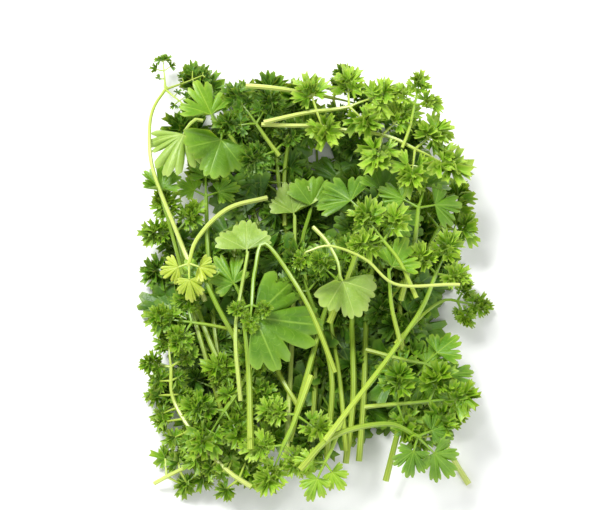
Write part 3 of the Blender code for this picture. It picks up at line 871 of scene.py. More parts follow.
class Habit(Enum):
    """Kinds of modelled leaf blade."""

    CURLY = "curly"
    LOBED = "lobed"
    PLATE = "plate"
    FAN = "fan"
    INNER = "inner"


# The single leaves whose shape the picture shows plainly.
LEAF_HABITS = {
    "left_leaf": Habit.LOBED, "left_leaf_two": Habit.FAN, "round_leaf": Habit.FAN, "pale_leaf": Habit.FAN,
    "flat_leaf": Habit.PLATE, "stem_middle_left": Habit.FAN, "stem_middle": Habit.FAN,
}


class Growth(Enum):
    """Ways in which the leaflets of a curly blade are set."""

    DENSE = "dense"
    OPEN = "open"
    SPARSE = "sparse"


# Curly sprigs that aren't dense.
GROWTHS = {name: Growth.OPEN for name in (
    "frond_right", "frond_top", "frond_tip", "frond_mid", "main_branch", "right_edge", "low_right_frond",
    "top_middle",
)} | {"left_arc": Growth.SPARSE}


@dataclass(frozen=True)
class LeafletPlace:
    """Where a leaflet leaves the rib of a curly blade, or one on each side of it.

    The place along the rib is a share of the rib, and the lengths of stalk and leaflet are shares of the
    blade's reach. Both the turn from the rib and how much the leaflet stands up are in degrees.
    """

    along: float
    turn: float
    stalk: float
    reach: float
    stand: float = 0.0
    both_sides: bool = False


# Length of the rib of a curly blade, as a share of the blade's reach.
RIB_SHARES = {Growth.DENSE: 0.5, Growth.OPEN: 0.42, Growth.SPARSE: 0.75}
LEAFLET_PLACES = {
    Growth.DENSE: (
        LeafletPlace(1.0, 0.0, 0.0, 0.6), LeafletPlace(0.86, 46.0, 0.05, 0.54, both_sides=True),
        LeafletPlace(0.3, 62.0, 0.2, 0.54, both_sides=True), LeafletPlace(0.6, 10.0, 0.02, 0.42, 28.0),
        LeafletPlace(0.0, 88.0, 0.14, 0.44, both_sides=True), LeafletPlace(0.1, -20.0, 0.05, 0.4, 32.0),
    ),
    Growth.OPEN: (
        LeafletPlace(1.0, 0.0, 0.0, 0.78), LeafletPlace(0.9, 44.0, 0.06, 0.7, both_sides=True),
        LeafletPlace(0.1, 72.0, 0.16, 0.66, both_sides=True), LeafletPlace(0.4, 12.0, 0.02, 0.5, 26.0),
    ),
    Growth.SPARSE: (
        LeafletPlace(1.0, 0.0, 0.0, 0.36), LeafletPlace(1.0, 60.0, 0.12, 0.32, both_sides=True),
        LeafletPlace(0.45, 70.0, 0.3, 0.34, both_sides=True), LeafletPlace(0.0, 90.0, 0.2, 0.28),
    ),
}


@dataclass(frozen=True)
class SideGrowth:
    """Small leaves along a sprig's stem.

    The step is the distance from one pair to the next, longest the longest stalk, plain_share the share of
    plain leaves among them, reach the mean length of a curly leaflet, and sink the slope by which the stalks
    go down.
    """

    step: float
    longest: float
    plain_share: float
    reach: float
    sink: float


# The lowest sprigs are leafy all along, and three at the low left have finer leaves below their stems.
LOWEST = ("ground", "under")
LOWEST_GROWTH = {BROAD: SideGrowth(4.5, 11.0, 1.0, 8.2, 0.0), CUT: SideGrowth(4.5, 11.0, 0.5, 8.2, 0.0)}
LEAFY_STEMS = ("low_left_arc", "corner_left", "low_left_frond")
LEAFY_GROWTH = SideGrowth(5.5, 7.5, 0.0, 5.8, 0.45)


def evened(values: np.ndarray) -> np.ndarray:
    """Evens out a row of values, each with its neighbours.

    Args:
        values: The values.

    Returns:
        The evened values.
    """
    made = np.array(values, float)
    for _ in range(2):
        wide = np.concatenate([made[:1], made, made[-1:]])
        made = (wide[:-2] + 2 * wide[1:-1] + wide[2:]) / 4
    return made


@dataclass
class Leaflet:
    """Where one blade goes on its sprig: base, heading and reach, with its pitch and roll in degrees."""

    pattern: Patch
    base: np.ndarray
    heading: float
    reach: float
    pitch: float = 0.0
    roll: float = 0.0
    flip: bool = False
    blade: Blade | None = None

    def points(self) -> np.ndarray:
        """Places the pattern's points on a level sprig.

        Returns:
            The points.
        """
        made = self.pattern.points * self.reach
        if self.flip:
            made = made * (1, -1, 1)
        if self.blade is not None:
            angle = np.degrees(np.arctan2(made[:, 1], made[:, 0]))
            length = np.linalg.norm(made[:, :2], axis=1)
            ratio = np.interp(angle, self.blade.angles, evened(self.blade.ratios))
            made[:, 2] += np.interp(angle, self.blade.angles, evened(self.blade.slopes)) * length
            made[:, :2] *= ratio[:, None]
        turn = Matrix.Rotation(math.radians(self.heading), 3, "Z")
        turn = turn @ Matrix.Rotation(math.radians(-self.pitch), 3, "Y")
        turn = turn @ Matrix.Rotation(math.radians(self.roll), 3, "X")
        return made @ np.array(turn).T + self.base


def srgb(code: str) -> tuple:
    """Turns an sRGB hex code into linear colour.

    Args:
        code: Six hex digits.

    Returns:
        Linear red, green, blue and an alpha of 1.
    """
    parts = [int(code[i:i + 2], 16) / 255 for i in (0, 2, 4)]
    return (*(c / 12.92 if c <= 0.04045 else ((c + 0.055) / 1.055) ** 2.4 for c in parts), 1.0)


def add_node(tree: bpy.types.NodeTree, kind: str, settings: dict | None = None,
             inputs: dict | None = None) -> bpy.types.Node:
    """Adds a node with its settings and links.

    Args:
        tree: The node tree.
        kind: The node's type, without the word ShaderNode.
        settings: Values of the node's own properties.
        inputs: Value, or socket to link from, for each input by its name or number.

    Returns:
        The node.
    """
    node = tree.nodes.new("ShaderNode" + kind)
    for name, value in (settings or {}).items():
        setattr(node, name, value)
    for name, value in (inputs or {}).items():
        if isinstance(value, bpy.types.NodeSocket):
            tree.links.new(value, node.inputs[name])
        else:
            node.inputs[name].default_value = value
    return node


def new_material(name: str, constants: dict) -> tuple:
    """Starts a material.

    Args:
        name: The material's name.
        constants: Values of the shader's own sockets.

    Returns:
        The material, its node tree and its shader.
    """
    material = bpy.data.materials.new(name)
    material.use_nodes = True
    tree = material.node_tree
    shader = tree.nodes["Principled BSDF"]
    for socket, value in constants.items():
        shader.inputs[socket].default_value = value
    return material, tree, shader


@dataclass(frozen=True)
class LeafFinish:
    """Fresh parsley blade: a thin waxy skin over watery green tissue, with veins a little paler.

    The skin gives a soft, wide sheen, and the veins and the cells between them a fine relief. The edge of the
    blade is lighter than its middle. Widths and places on a blade are shares of its reach.
    """

    name: str
    body: str
    shade: str
    vein: str
    edge: float = 0.45
    edge_from: float = 0.66
    edge_to: float = 1.04
    roughness: float = 0.4
    vein_width: float = 0.05
    vein_strength: float = 0.55
    side_vein_width: float = 0.08
    side_vein_strength: float = 0.22
    side_vein_slant: float = -2.2
    side_veins: float = 6.5
    # Patches of darker and lighter green about 9 mm wide, and cells of about 1 mm. Real cells are too fine to
    # show, so these are coarser.
    patches_a_metre: float = 110.0
    cells_a_metre: float = 900.0
    tint_strength: float = 1.1
    bump_distance: float = 0.3

    def build(self) -> bpy.types.Material:
        """Makes the material.

        Returns:
            The material.
        """
        material, tree, shader = new_material(self.name, {
            "Roughness": self.roughness, "Specular IOR Level": 0.4, "Subsurface Weight": 0.2,
            "Subsurface Radius": (0.8, 1.0, 0.1), "Subsurface Scale": MM})
        place = add_node(tree, "TexCoord")
        patches = add_node(tree, "TexNoise", inputs={
            "Vector": place.outputs["Object"], "Scale": self.patches_a_metre,
            "Detail": 3.0, "Roughness": 0.6})
        spread = add_node(tree, "MapRange", inputs={
            "Value": patches.outputs["Fac"], "From Min": 0.35, "From Max": 0.65})
        tint = add_node(tree, "Attribute", {"attribute_name": "tint"})
        mixed = add_node(tree, "Math", {"operation": "MULTIPLY_ADD"}, {
            0: tint.outputs["Fac"], 1: self.tint_strength, 2: spread.outputs["Result"]})
        share = add_node(tree, "MapRange", inputs={
            "Value": mixed.outputs["Value"], "From Min": 0.2, "From Max": 1.9})
        ground = add_node(tree, "Mix", {"data_type": "RGBA"}, {
            0: share.outputs["Result"], 6: srgb(self.shade), 7: srgb(self.body)})
        split = add_node(tree, "SeparateXYZ", inputs={"Vector": place.outputs["UV"]})
        veins = self.veins(tree, split)
        rim = add_node(tree, "MapRange", {"interpolation_type": "SMOOTHSTEP"}, {
            "Value": split.outputs["Y"], "From Min": self.edge_from, "From Max": self.edge_to,
            "To Max": self.edge})
        pale = add_node(tree, "Math", {"operation": "MAXIMUM"}, {
            0: veins.outputs["Value"], 1: rim.outputs["Result"]})
        colour = add_node(tree, "Mix", {"data_type": "RGBA"}, {
            0: pale.outputs["Value"], 6: ground.outputs[2], 7: srgb(self.vein)})
        tree.links.new(colour.outputs[2], shader.inputs["Base Color"])
        cells = add_node(tree, "TexNoise", inputs={
            "Vector": place.outputs["Object"], "Scale": self.cells_a_metre, "Detail": 3.0})
        relief = add_node(tree, "Math", {"operation": "MULTIPLY_ADD"}, {
            0: veins.outputs["Value"], 1: -1.0, 2: cells.outputs["Fac"]})
        bump = add_node(tree, "Bump", inputs={
            "Strength": 0.5, "Distance": self.bump_distance * MM, "Height": relief.outputs["Value"]})
        tree.links.new(bump.outputs["Normal"], shader.inputs["Normal"])
        return material

    def veins(self, tree: bpy.types.NodeTree, split: bpy.types.Node) -> bpy.types.Node:
        """Adds the nodes of the veins, one along each lobe with side veins leaving it.

        Args:
            tree: The node tree.
            split: The UV coordinates: across from the vein to the lobe's side, and out from base to edge.

        Returns:
            A node whose value is above 0 on a vein and 0 away from it.
        """
        width = add_node(tree, "Math", {"operation": "MULTIPLY"}, {
            0: split.outputs["X"], 1: split.outputs["Y"]})
        main = add_node(tree, "MapRange", {"interpolation_type": "SMOOTHSTEP"}, {
            "Value": width.outputs["Value"], "From Min": self.vein_width, "From Max": 0.0,
            "To Max": self.vein_strength})
        slant = add_node(tree, "Math", {"operation": "MULTIPLY"}, {
            0: split.outputs["X"], 1: self.side_vein_slant})
        run = add_node(tree, "Math", {"operation": "MULTIPLY_ADD"}, {
            0: split.outputs["Y"], 1: self.side_veins, 2: slant.outputs["Value"]})
        beat = add_node(tree, "Math", {"operation": "PINGPONG"}, {0: run.outputs["Value"], 1: 0.5})
        side = add_node(tree, "MapRange", {"interpolation_type": "SMOOTHSTEP"}, {
            "Value": beat.outputs["Value"], "From Min": self.side_vein_width, "From Max": 0.0,
            "To Max": self.side_vein_strength})
        return add_node(tree, "Math", {"operation": "MAXIMUM"}, {
            0: main.outputs["Result"], 1: side.outputs["Result"]})


@dataclass(frozen=True)
class StemFinish:
    """Fresh parsley stem: a smooth watery skin that is paler towards the cut end, with painted shade in the
    grooves between its ribs.

    The ribs along it give long thin highlights, and the tissue under the skin lets some light through.
    """

    name: str
    cut_end: str
    leaf_end: str
    groove: str
    # How dark the painted shade in a groove is, from where the rib starts to fall, with clouds about 17 mm
    # wide.
    groove_shade_strength: float = 0.75
    rib_side: float = 0.8
    clouds_a_metre: float = 60.0

    def build(self) -> bpy.types.Material:
        """Makes the material.

        Returns:
            The material.
        """
        material, tree, shader = new_material(self.name, {
            "Roughness": 0.32, "Specular IOR Level": 0.5, "Subsurface Weight": 0.25,
            "Subsurface Radius": (0.8, 1.0, 0.15), "Subsurface Scale": MM})
        place = add_node(tree, "TexCoord")
        along = add_node(tree, "Attribute", {"attribute_name": "tint"})
        body = add_node(tree, "Mix", {"data_type": "RGBA"}, {
            0: along.outputs["Fac"], 6: srgb(self.cut_end), 7: srgb(self.leaf_end)})
        rib = add_node(tree, "Attribute", {"attribute_name": "rib"})
        # Painted shade: the grooves between the ribs are darkened towards the groove colour, in clouds.
        groove_shade = add_node(tree, "MapRange", inputs={
            "Value": rib.outputs["Fac"], "From Min": self.rib_side, "From Max": 0.0,
            "To Max": self.groove_shade_strength})
        cloud = add_node(tree, "TexNoise", inputs={
            "Vector": place.outputs["Object"], "Scale": self.clouds_a_metre, "Detail": 2.0})
        shaded = add_node(tree, "Math", {"operation": "MULTIPLY"}, {
            0: groove_shade.outputs["Result"], 1: cloud.outputs["Fac"]})
        colour = add_node(tree, "Mix", {"data_type": "RGBA"}, {
            0: shaded.outputs["Value"], 6: body.outputs[2], 7: srgb(self.groove)})
        tree.links.new(colour.outputs[2], shader.inputs["Base Color"])
        return material


@dataclass(frozen=True)
class PithFinish:
    """Cut end of a stem: wet, pale pith that is open-celled and duller than the skin."""

    name: str = "parsley_pith_cut"
    body: str = "DDE6B4"
    shade: str = "B9CB84"
    # Cells of 0.25 mm.
    cells_a_metre: float = 4000.0
    bump_distance: float = 0.1

    def build(self) -> bpy.types.Material:
        """Makes the material.

        Returns:
            The material.
        """
        material, tree, shader = new_material(self.name, {"Roughness": 0.5})
        place = add_node(tree, "TexCoord")
        cells = add_node(tree, "TexVoronoi", inputs={
            "Vector": place.outputs["Object"], "Scale": self.cells_a_metre})
        colour = add_node(tree, "Mix", {"data_type": "RGBA"}, {
            0: cells.outputs["Distance"], 6: srgb(self.body), 7: srgb(self.shade)})
        tree.links.new(colour.outputs[2], shader.inputs["Base Color"])
        bump = add_node(tree, "Bump", inputs={
            "Strength": 0.4, "Distance": self.bump_distance * MM, "Height": cells.outputs["Distance"]})
        tree.links.new(bump.outputs["Normal"], shader.inputs["Normal"])
        return material


# Colours of a leaf's upper side: its body, its shade and its veins and edge.
LEAF_TONES = {
    # The deep tone's greens are partly painted shade.
    DEEP: ("558517", "315B0B", "85AA39"),
    MID: ("69941D", "487310", "94B842"),
    FRESH: ("76A219", "4F800C", "A8C640"),
    BRIGHT: ("94BC2C", "6C9C1C", "C2DA5C"),
    PALE: ("8DAB46", "729432", "B6CC70"),
    YELLOW: ("AEC03A", "90AC2C", "CCD868"),
}
# The same for its underside, which is duller and greyer.
UNDER_TONES = {
    # The deep underside is also partly painted shade.
    DEEP: ("75973C", "5A802A", "98B25A"),
    MID: ("89A749", "709336", "AAC26B"),
    FRESH: ("90B046", "769E33", "B3CA6A"),
    BRIGHT: ("A7C549", "8CB036", "C9DC76"),
    PALE: ("9DB55C", "88A24A", "BECC86"),
    YELLOW: ("C2C95C", "AEBB4C", "D8DD88"),
}
# Colours of a stem: at its cut end, at its leaf end, and the painted shade in the grooves between its ribs.
STEM_TONES = {
    DEEP: ("A8BC48", "7A9C26", "577A16"),
    MID: ("AABE46", "7EA228", "5A8018"),
    FRESH: ("AEC248", "82A82A", "5E861A"),
    BRIGHT: ("B8CC50", "92B634", "6C9224"),
    PALE: ("C6D670", "A2BE4C", "7A9A34"),
    YELLOW: ("D2DE7E", "B4C952", "8EA636"),
}
# Sprigs whose stem is as pale as a yellow one's.
PALE_STEMS = (
    "loop", "frond_right", "frond_top", "rod_top", "left_arc", "corner_left", "corner_right", "low_left_arc",
)


class Finishes:
    """All materials of the bunch, made once and shared."""

    def __init__(self) -> None:
        """Makes the materials of every tone."""
        self.pith = PithFinish().build()
        self.stems, self.tops, self.undersides = {}, {}, {}
        for tone in Tone:
            word = tone.value
            self.stems[tone] = StemFinish(f"parsley_stem_{word}", *STEM_TONES[tone]).build()
            self.tops[tone] = LeafFinish(f"parsley_leaf_{word}", *LEAF_TONES[tone]).build()
            under = LeafFinish(f"parsley_underside_{word}", *UNDER_TONES[tone], roughness=0.58)
            self.undersides[tone] = under.build()

    def of(self, sprig: Sprig) -> list:
        """Lists the materials of one sprig.

        Args:
            sprig: The sprig.

        Returns:
            Materials of its leaves' tops and undersides, its stem and the stem's cut end.
        """
        stem = self.stems[YELLOW if sprig.name in PALE_STEMS else sprig.tone]
        return [self.tops[sprig.tone], self.undersides[sprig.tone], stem, self.pith]


class Surface(IntEnum):
    """Material numbers of a sprig's mesh, in the order in which its finishes are listed."""

    LEAF_TOP = 0
    LEAF_UNDER = 1
    STEM_SKIN = 2
    PITH = 3


@dataclass
class SprigWork:
    """Builds the fine surface of one laid sprig, as one object.

    Turns, pitches, rolls, reaches, sizes, slopes and arches are pairs of limits, between which a value is
    drawn at random. Angles are in degrees, and a stalk's radii are those at its start and at its end.
    """

    one: Laid
    layout: BunchLayout
    patterns: dict
    strands: list = field(default_factory=list)
    leaflets: list = field(default_factory=list)

    stem_step: float = 2.5
    # Radius at the very tip of a stem, as a share of the radius just before it.
    tip_share: float = 0.75
    stalk_points: int = 4
    stalk_radius: float = 0.55
    stalk_end_radius: float = 0.36
    stalk_arches: tuple = (0, 0.5)
    rib_taper: float = 0.7
    petiole_radius: float = 0.3
    petiole_taper: float = 0.8
    petiole_rise: float = 0.1
    # Curly leaflets, on stalks called petioles.
    leaflet_turns: tuple = (-10, 10)
    leaflet_pitches: tuple = (-14, 12)
    leaflet_rolls: tuple = (-26, 26)
    leaflet_sizes: tuple = (0.85, 1.15)
    # Small leaves along a stem: plain ones, and curly ones of three leaflets.
    side_radii: tuple = (0.5, 0.36)
    side_arch: float = 0.3
    side_turns: tuple = (40, 90)
    side_slopes: tuple = (-0.1, 0.15)
    shortest_side_stalk: float = 2.0
    plain_turns: tuple = (-20, 20)
    plain_reaches: tuple = (11.0, 15.0)
    plain_pitches: tuple = (-8, 12)
    plain_rolls: tuple = (-20, 20)
    trio: tuple = (-62, 0, 62)
    trio_pitches: tuple = (-10, 16)
    # Heights above the surface below which no point and no leaf's base goes.
    lowest: float = 0.08
    lowest_base: float = 0.24
    # Ribs round a stem, and radius in the groove between two as a share of the radius on a rib.
    ribs: int = 6
    groove: float = 0.84
    # Mean radius over rib and groove, as the same share.
    mean_radius: float = 0.92
    merge_distance: float = 0.01
    # How near to the end of the middle line the middle of the cut face lies, and how far it is inset and sunk.
    end_distance: float = 0.1
    pith_depth: float = 0.2
    sharp_angle: float = 62.0

    def __post_init__(self) -> None:
        """Starts the sprig's own draws, apart from those that placed its blades."""
        self.draw = random.Random(self.one.sprig.name + " fine")

    def stem(self) -> None:
        """Adds the main stem."""
        sprig = self.one.sprig
        plan = smooth_route(sprig.route, self.stem_step)
        ahead = plan[-1] - plan[-2]
        plan = np.vstack([plan, plan[-1] + ahead / np.linalg.norm(ahead) * self.layout.stem_tip])
        radii = sprig.girth * np.linspace(self.layout.cut_end_radius, self.layout.leaf_end_radius, len(plan))
        radii[-1] *= self.tip_share
        heights = radii - Heap.blade_thickness / 2 if sprig.flat else np.zeros(len(plan))
        self.strands.append(Stem(np.column_stack([plan, heights]), radii))

    def stalk(self, start: np.ndarray, end: np.ndarray, radii: tuple, arch: float) -> None:
        """Adds a stalk.

        Args:
            start: Where it starts.
            end: Where it ends.
            radii: Its radius at the start and at the end.
            arch: How high its middle stands above a straight line.
        """
        share = np.linspace(0, 1, self.stalk_points)[:, None]
        line = (1 - share) * start + share * end
        line[:, 2] += arch * np.sin(math.pi * share[:, 0])
        self.strands.append(Stem(line, np.linspace(*radii, len(line))))

    def broad_blade(self, blade: Blade) -> None:
        """Adds a broad blade in place of the solid one.

        Args:
            blade: The solid's blade.
        """
        base = blade.level_base
        self.stalk(blade.start, base, (self.stalk_radius, self.stalk_end_radius), 0.0)
        habit = LEAF_HABITS.get(self.one.sprig.name, Habit.LOBED)
        pattern = self.draw.choice(self.patterns[habit])
        flip = self.draw.random() < 0.5
        self.leaflets.append(Leaflet(pattern, base, blade.heading, blade.reach, flip=flip, blade=blade))

    def curly_blade(self, blade: Blade) -> None:
        """Adds a side branch of curly leaflets in place of a solid cut blade.

        Args:
            blade: The solid's blade.
        """
        draw = self.draw
        slope = float(np.interp(0.0, blade.angles, blade.slopes))
        ahead = np.append(heading_vector(blade.heading), slope)
        base = blade.level_base
        growth = GROWTHS.get(self.one.sprig.name, Growth.DENSE)
        end = base + RIB_SHARES[growth] * blade.reach * ahead
        radii = (self.stalk_radius, self.stalk_end_radius)
        self.stalk(blade.start, base, radii, draw.uniform(*self.stalk_arches))
        self.stalk(base, end, (self.stalk_end_radius, self.rib_taper * self.stalk_end_radius), 0.0)
        for place in LEAFLET_PLACES[growth]:
            for side in (-1, 1) if place.both_sides else (1,):
                self.rib_leaflet(blade, base, end, place, side)

    def rib_leaflet(self, blade: Blade, base: np.ndarray, end: np.ndarray,
                    place: LeafletPlace, side: int) -> None:
        """Adds one leaflet of a curly blade, with its stalk.

        Args:
            blade: The solid's blade.
            base: Where the blade's rib starts.
            end: Where it ends.
            place: The leaflet's place.
            side: 1, or -1 for the other side of the rib.
        """
        draw = self.draw
        turn = side * place.turn + draw.uniform(*self.leaflet_turns)
        slope = float(np.interp(turn, blade.angles, blade.slopes))
        root = base + place.along * (end - base)
        ahead = np.append(heading_vector(blade.heading + turn), slope + self.petiole_rise)
        tip = root + place.stalk * blade.reach * ahead
        if place.stalk:
            self.stalk(root, tip, (self.petiole_radius, self.petiole_taper * self.petiole_radius), 0.0)
        pitch = place.stand + math.degrees(math.atan(slope)) + draw.uniform(*self.leaflet_pitches)
        reach = place.reach * blade.reach * draw.uniform(*self.leaflet_sizes)
        self.curly(tip, blade.heading + turn, reach, pitch)

    def side_leaves(self, growth: SideGrowth) -> None:
        """Adds small leaves along the stem, on both sides.

        Args:
            growth: How they are set.
        """
        draw = self.draw
        plan = smooth_route(self.one.sprig.route, growth.step)
        for here, beyond in zip(plan[1:-1], plan[2:]):
            for side in (-1, 1):
                run = beyond - here
                heading = math.degrees(math.atan2(run[1], run[0])) + side * draw.uniform(*self.side_turns)
                root = np.append(here, 0.0)
                length = draw.uniform(self.shortest_side_stalk, growth.longest)
                slope = draw.uniform(*self.side_slopes) - growth.sink
                end = root + length * np.append(heading_vector(heading), slope)
                self.stalk(root, end, self.side_radii, self.side_arch)
                if draw.random() < growth.plain_share:
                    pattern = draw.choice(self.patterns[Habit.INNER])
                    turned = heading + draw.uniform(*self.plain_turns)
                    limits = (self.plain_reaches, self.plain_pitches, self.plain_rolls)
                    drawn = [draw.uniform(*pair) for pair in limits]
                    self.leaflets.append(Leaflet(pattern, end, turned, *drawn))
                    continue
                for turned in self.trio:
                    pitch = draw.uniform(*self.trio_pitches) - math.degrees(math.atan(growth.sink))
                    self.curly(end, heading + turned, draw.uniform(*self.leaflet_sizes) * growth.reach, pitch)

    def curly(self, base: np.ndarray, heading: float, reach: float, pitch: float) -> None:
        """Adds one curly leaflet, rolled at random.

        Args:
            base: Where it starts.
            heading: Its direction.
            reach: Its length.
            pitch: How steep it stands, in degrees.
        """
        draw = self.draw
        self.leaflets.append(Leaflet(
            draw.choice(self.patterns[Habit.CURLY]), base, heading, reach,
            pitch, draw.uniform(*self.leaflet_rolls), draw.random() < 0.5))

    def settle(self, points: np.ndarray) -> np.ndarray:
        """Lays level points down where the sprig lies, about the bunch's middle.

        Args:
            points: Points on a level sprig.

        Returns:
            The points in place, in millimetres.
        """
        heap = self.layout.heap
        made = points.copy()
        made[:, 2] += heap.height_at(self.one.surface, points) + self.one.lift
        made[:, :2] -= self.layout.middle
        return made

    def rest(self, leaf: np.ndarray, base: float) -> np.ndarray:
        """Keeps a leaf above the surface that the bunch lies on: the part that would sink in is pressed flat.

        Args:
            leaf: The leaf's points where it lies.
            base: Height of the leaf's base.

        Returns:
            The points, none of them lower than a leaf on that surface.
        """
        leaf[:, 2] += max(0.0, self.lowest_base - base)
        base = max(base, self.lowest_base)
        below = leaf[:, 2] - base
        if base + below.min() < self.lowest:
            pressed = (self.lowest - base) / below.min()
            leaf[:, 2] = base + np.where(below < 0, pressed * below, below)
        return leaf

    def drawn(self, strand: Stem) -> np.ndarray:
        """Lays a stem's or stalk's middle line in place, above the surface that the bunch lies on.

        Args:
            strand: The stem or stalk.

        Returns:
            The points.
        """
        line = self.settle(strand.points)
        line[:, 2] = np.maximum(line[:, 2], strand.radii + self.lowest)
        return line

    def stem_object(self) -> bpy.types.Object:
        """Makes the stem and stalks as bevelled curves, turned into a mesh with pith at the cut end.

        Returns:
            The object.
        """
        curve = bpy.data.curves.new("strands", "CURVE")
        curve.dimensions = "3D"
        curve.use_fill_caps = True
        profile = self.profile()
        curve.bevel_mode = "OBJECT"
        curve.bevel_object = profile
        for strand in self.strands:
            spline = curve.splines.new("POLY")
            spline.points.add(len(strand.points) - 1)
            line = self.drawn(strand) * MM
            spline.points.foreach_set("co", np.column_stack([line, np.ones(len(line))]).ravel())
            spline.points.foreach_set("radius", strand.radii)
        piece = new_object("strands", curve)
        select_only(piece)
        bpy.ops.object.convert(target="MESH")
        bpy.data.objects.remove(profile)
        self.mark(piece)
        self.cut_end(piece)
        return piece

    def profile(self) -> bpy.types.Object:
        """Draws the outline of a ribbed stem of 1 mm radius.

        Returns:
            The closed curve.
        """
        outline = bpy.data.curves.new("profile", "CURVE")
        spline = outline.splines.new("POLY")
        spline.points.add(2 * self.ribs - 1)
        spline.use_cyclic_u = True
        for number, point in enumerate(spline.points):
            turn = math.pi * number / self.ribs
            radius = MM * (self.groove if number % 2 else 1.0)
            point.co = (radius * math.cos(turn), radius * math.sin(turn), 0.0, 1.0)
        return new_object("profile", outline)

    def cut_end(self, piece: bpy.types.Object) -> None:
        """Sinks the stem's cut end and marks it as pith.

        Args:
            piece: The stem's mesh.
        """
        for _ in Surface:
            piece.data.materials.append(None)
        first = Vector(self.drawn(self.strands[0])[0] * MM)
        merge_points(self.merge_distance * MM, outwards=True)
        bpy.ops.object.mode_set(mode="EDIT")
        bpy.ops.mesh.select_all(action="DESELECT")
        work = bmesh.from_edit_mesh(piece.data)
        for face in work.faces:
            face.material_index = Surface.STEM_SKIN
            face.select_set((face.calc_center_median() - first).length < self.end_distance * MM)
        bmesh.update_edit_mesh(piece.data)
        bpy.ops.mesh.inset(thickness=self.pith_depth * MM, depth=-self.pith_depth * MM)
        work = bmesh.from_edit_mesh(piece.data)
        for face in work.faces:
            if face.select:
                face.material_index = Surface.PITH
        bmesh.update_edit_mesh(piece.data)
        bpy.ops.object.mode_set(mode="OBJECT")

    def leaf_object(self) -> bpy.types.Object:
        """Makes one mesh of all the sprig's leaflets.

        Returns:
            The object.
        """
        points, faces, uvs, materials, tints = [], [], [], [], []
        start = 0
        for leaflet in self.leaflets:
            placed = self.settle(leaflet.points())
            placed = self.rest(placed, self.settle(leaflet.base[None])[0, 2]) * MM
            points.append(placed)
            order = -1 if leaflet.flip else 1
            faces += [tuple(start + v for v in face[::order]) for face in leaflet.pattern.faces]
            uvs.append(self.corner_uvs(leaflet.pattern, order))
            materials.append(leaflet.pattern.materials)
            tints.append(np.full(len(placed), self.draw.random()))
            start += len(placed)
        mesh = bpy.data.meshes.new("leaflets")
        mesh.from_pydata(np.concatenate(points), [], faces)
        mesh.uv_layers.new(name="UVMap")
        mesh.uv_layers[0].data.foreach_set("uv", np.concatenate(uvs).ravel())
        mesh.polygons.foreach_set("material_index", np.concatenate(materials))
        store(mesh, "tint", np.concatenate(tints))
        return new_object("leaflets", mesh)

    @staticmethod
    def corner_uvs(pattern: Patch, order: int) -> np.ndarray:
        """Gives a pattern's corner UVs in the order in which its faces are read.

        Args:
            pattern: The pattern.
            order: 1 as modelled, or -1 with each face turned over.

        Returns:
            The UVs.
        """
        if order == 1:
            return pattern.uvs
        counts = np.array([len(face) for face in pattern.faces])
        starts = np.concatenate([[0], np.cumsum(counts)[:-1]])
        index = np.concatenate([np.arange(a + n - 1, a - 1, -1) for a, n in zip(starts, counts)])
        return pattern.uvs[index]

    def mark(self, piece: bpy.types.Object) -> None:
        """Stores how far each point is from the cut end and how near a rib's ridge, both from 0 to 1; the
        second sets the painted shade in the grooves.

        Args:
            piece: The stem and stalks.
        """
        points = read(piece.data.vertices, "co", 3) / MM
        lines = [self.drawn(strand) for strand in self.strands]
        along = [np.linspace(0, 1, len(lines[0]))] + [np.ones(len(line)) for line in lines[1:]]
        radii = np.concatenate([strand.radii for strand in self.strands])
        gaps = np.linalg.norm(points[:, None] - np.concatenate(lines)[None], axis=2)
        nearest = np.abs(gaps / radii - self.mean_radius).argmin(axis=1)
        gap = gaps[np.arange(len(nearest)), nearest] / radii[nearest]
        store(piece.data, "tint", np.concatenate(along)[nearest])
        store(piece.data, "rib", np.clip((gap - self.groove) / (1 - self.groove), 0, 1))

    def build(self, finishes: Finishes) -> bpy.types.Object:
        """Builds, joins and finishes the sprig.

        Args:
            finishes: The materials.

        Returns:
            The piece.
        """
        sprig = self.one.sprig
        self.stem()
        for blade in self.one.blades:
            if sprig.kind is BROAD:
                self.broad_blade(blade)
            else:
                self.curly_blade(blade)
        if sprig.name.startswith(LOWEST):
            self.side_leaves(LOWEST_GROWTH[sprig.kind])
        if sprig.name in LEAFY_STEMS:
            self.side_leaves(LEAFY_GROWTH)
        stem = self.stem_object()
        piece = self.leaf_object()
        for number, material in enumerate(finishes.of(sprig)):
            piece.data.materials.append(material)
            stem.data.materials[number] = material
        select_only(piece)
        stem.select_set(True)
        bpy.ops.object.join()
        piece.name = "parsley_" + sprig.name
        piece.data.shade_smooth()
        piece.data.set_sharp_from_angle(angle=math.radians(self.sharp_angle))
        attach(piece, "root")
        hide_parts("sprig_" + sprig.name)
        return piece


def select_only(piece: bpy.types.Object) -> None:
    """Makes one object the selected and active one.

    Args:
        piece: The object.
    """
    for other in bpy.context.selected_objects:
        other.select_set(False)
    piece.select_set(True)
    bpy.context.view_layer.objects.active = piece


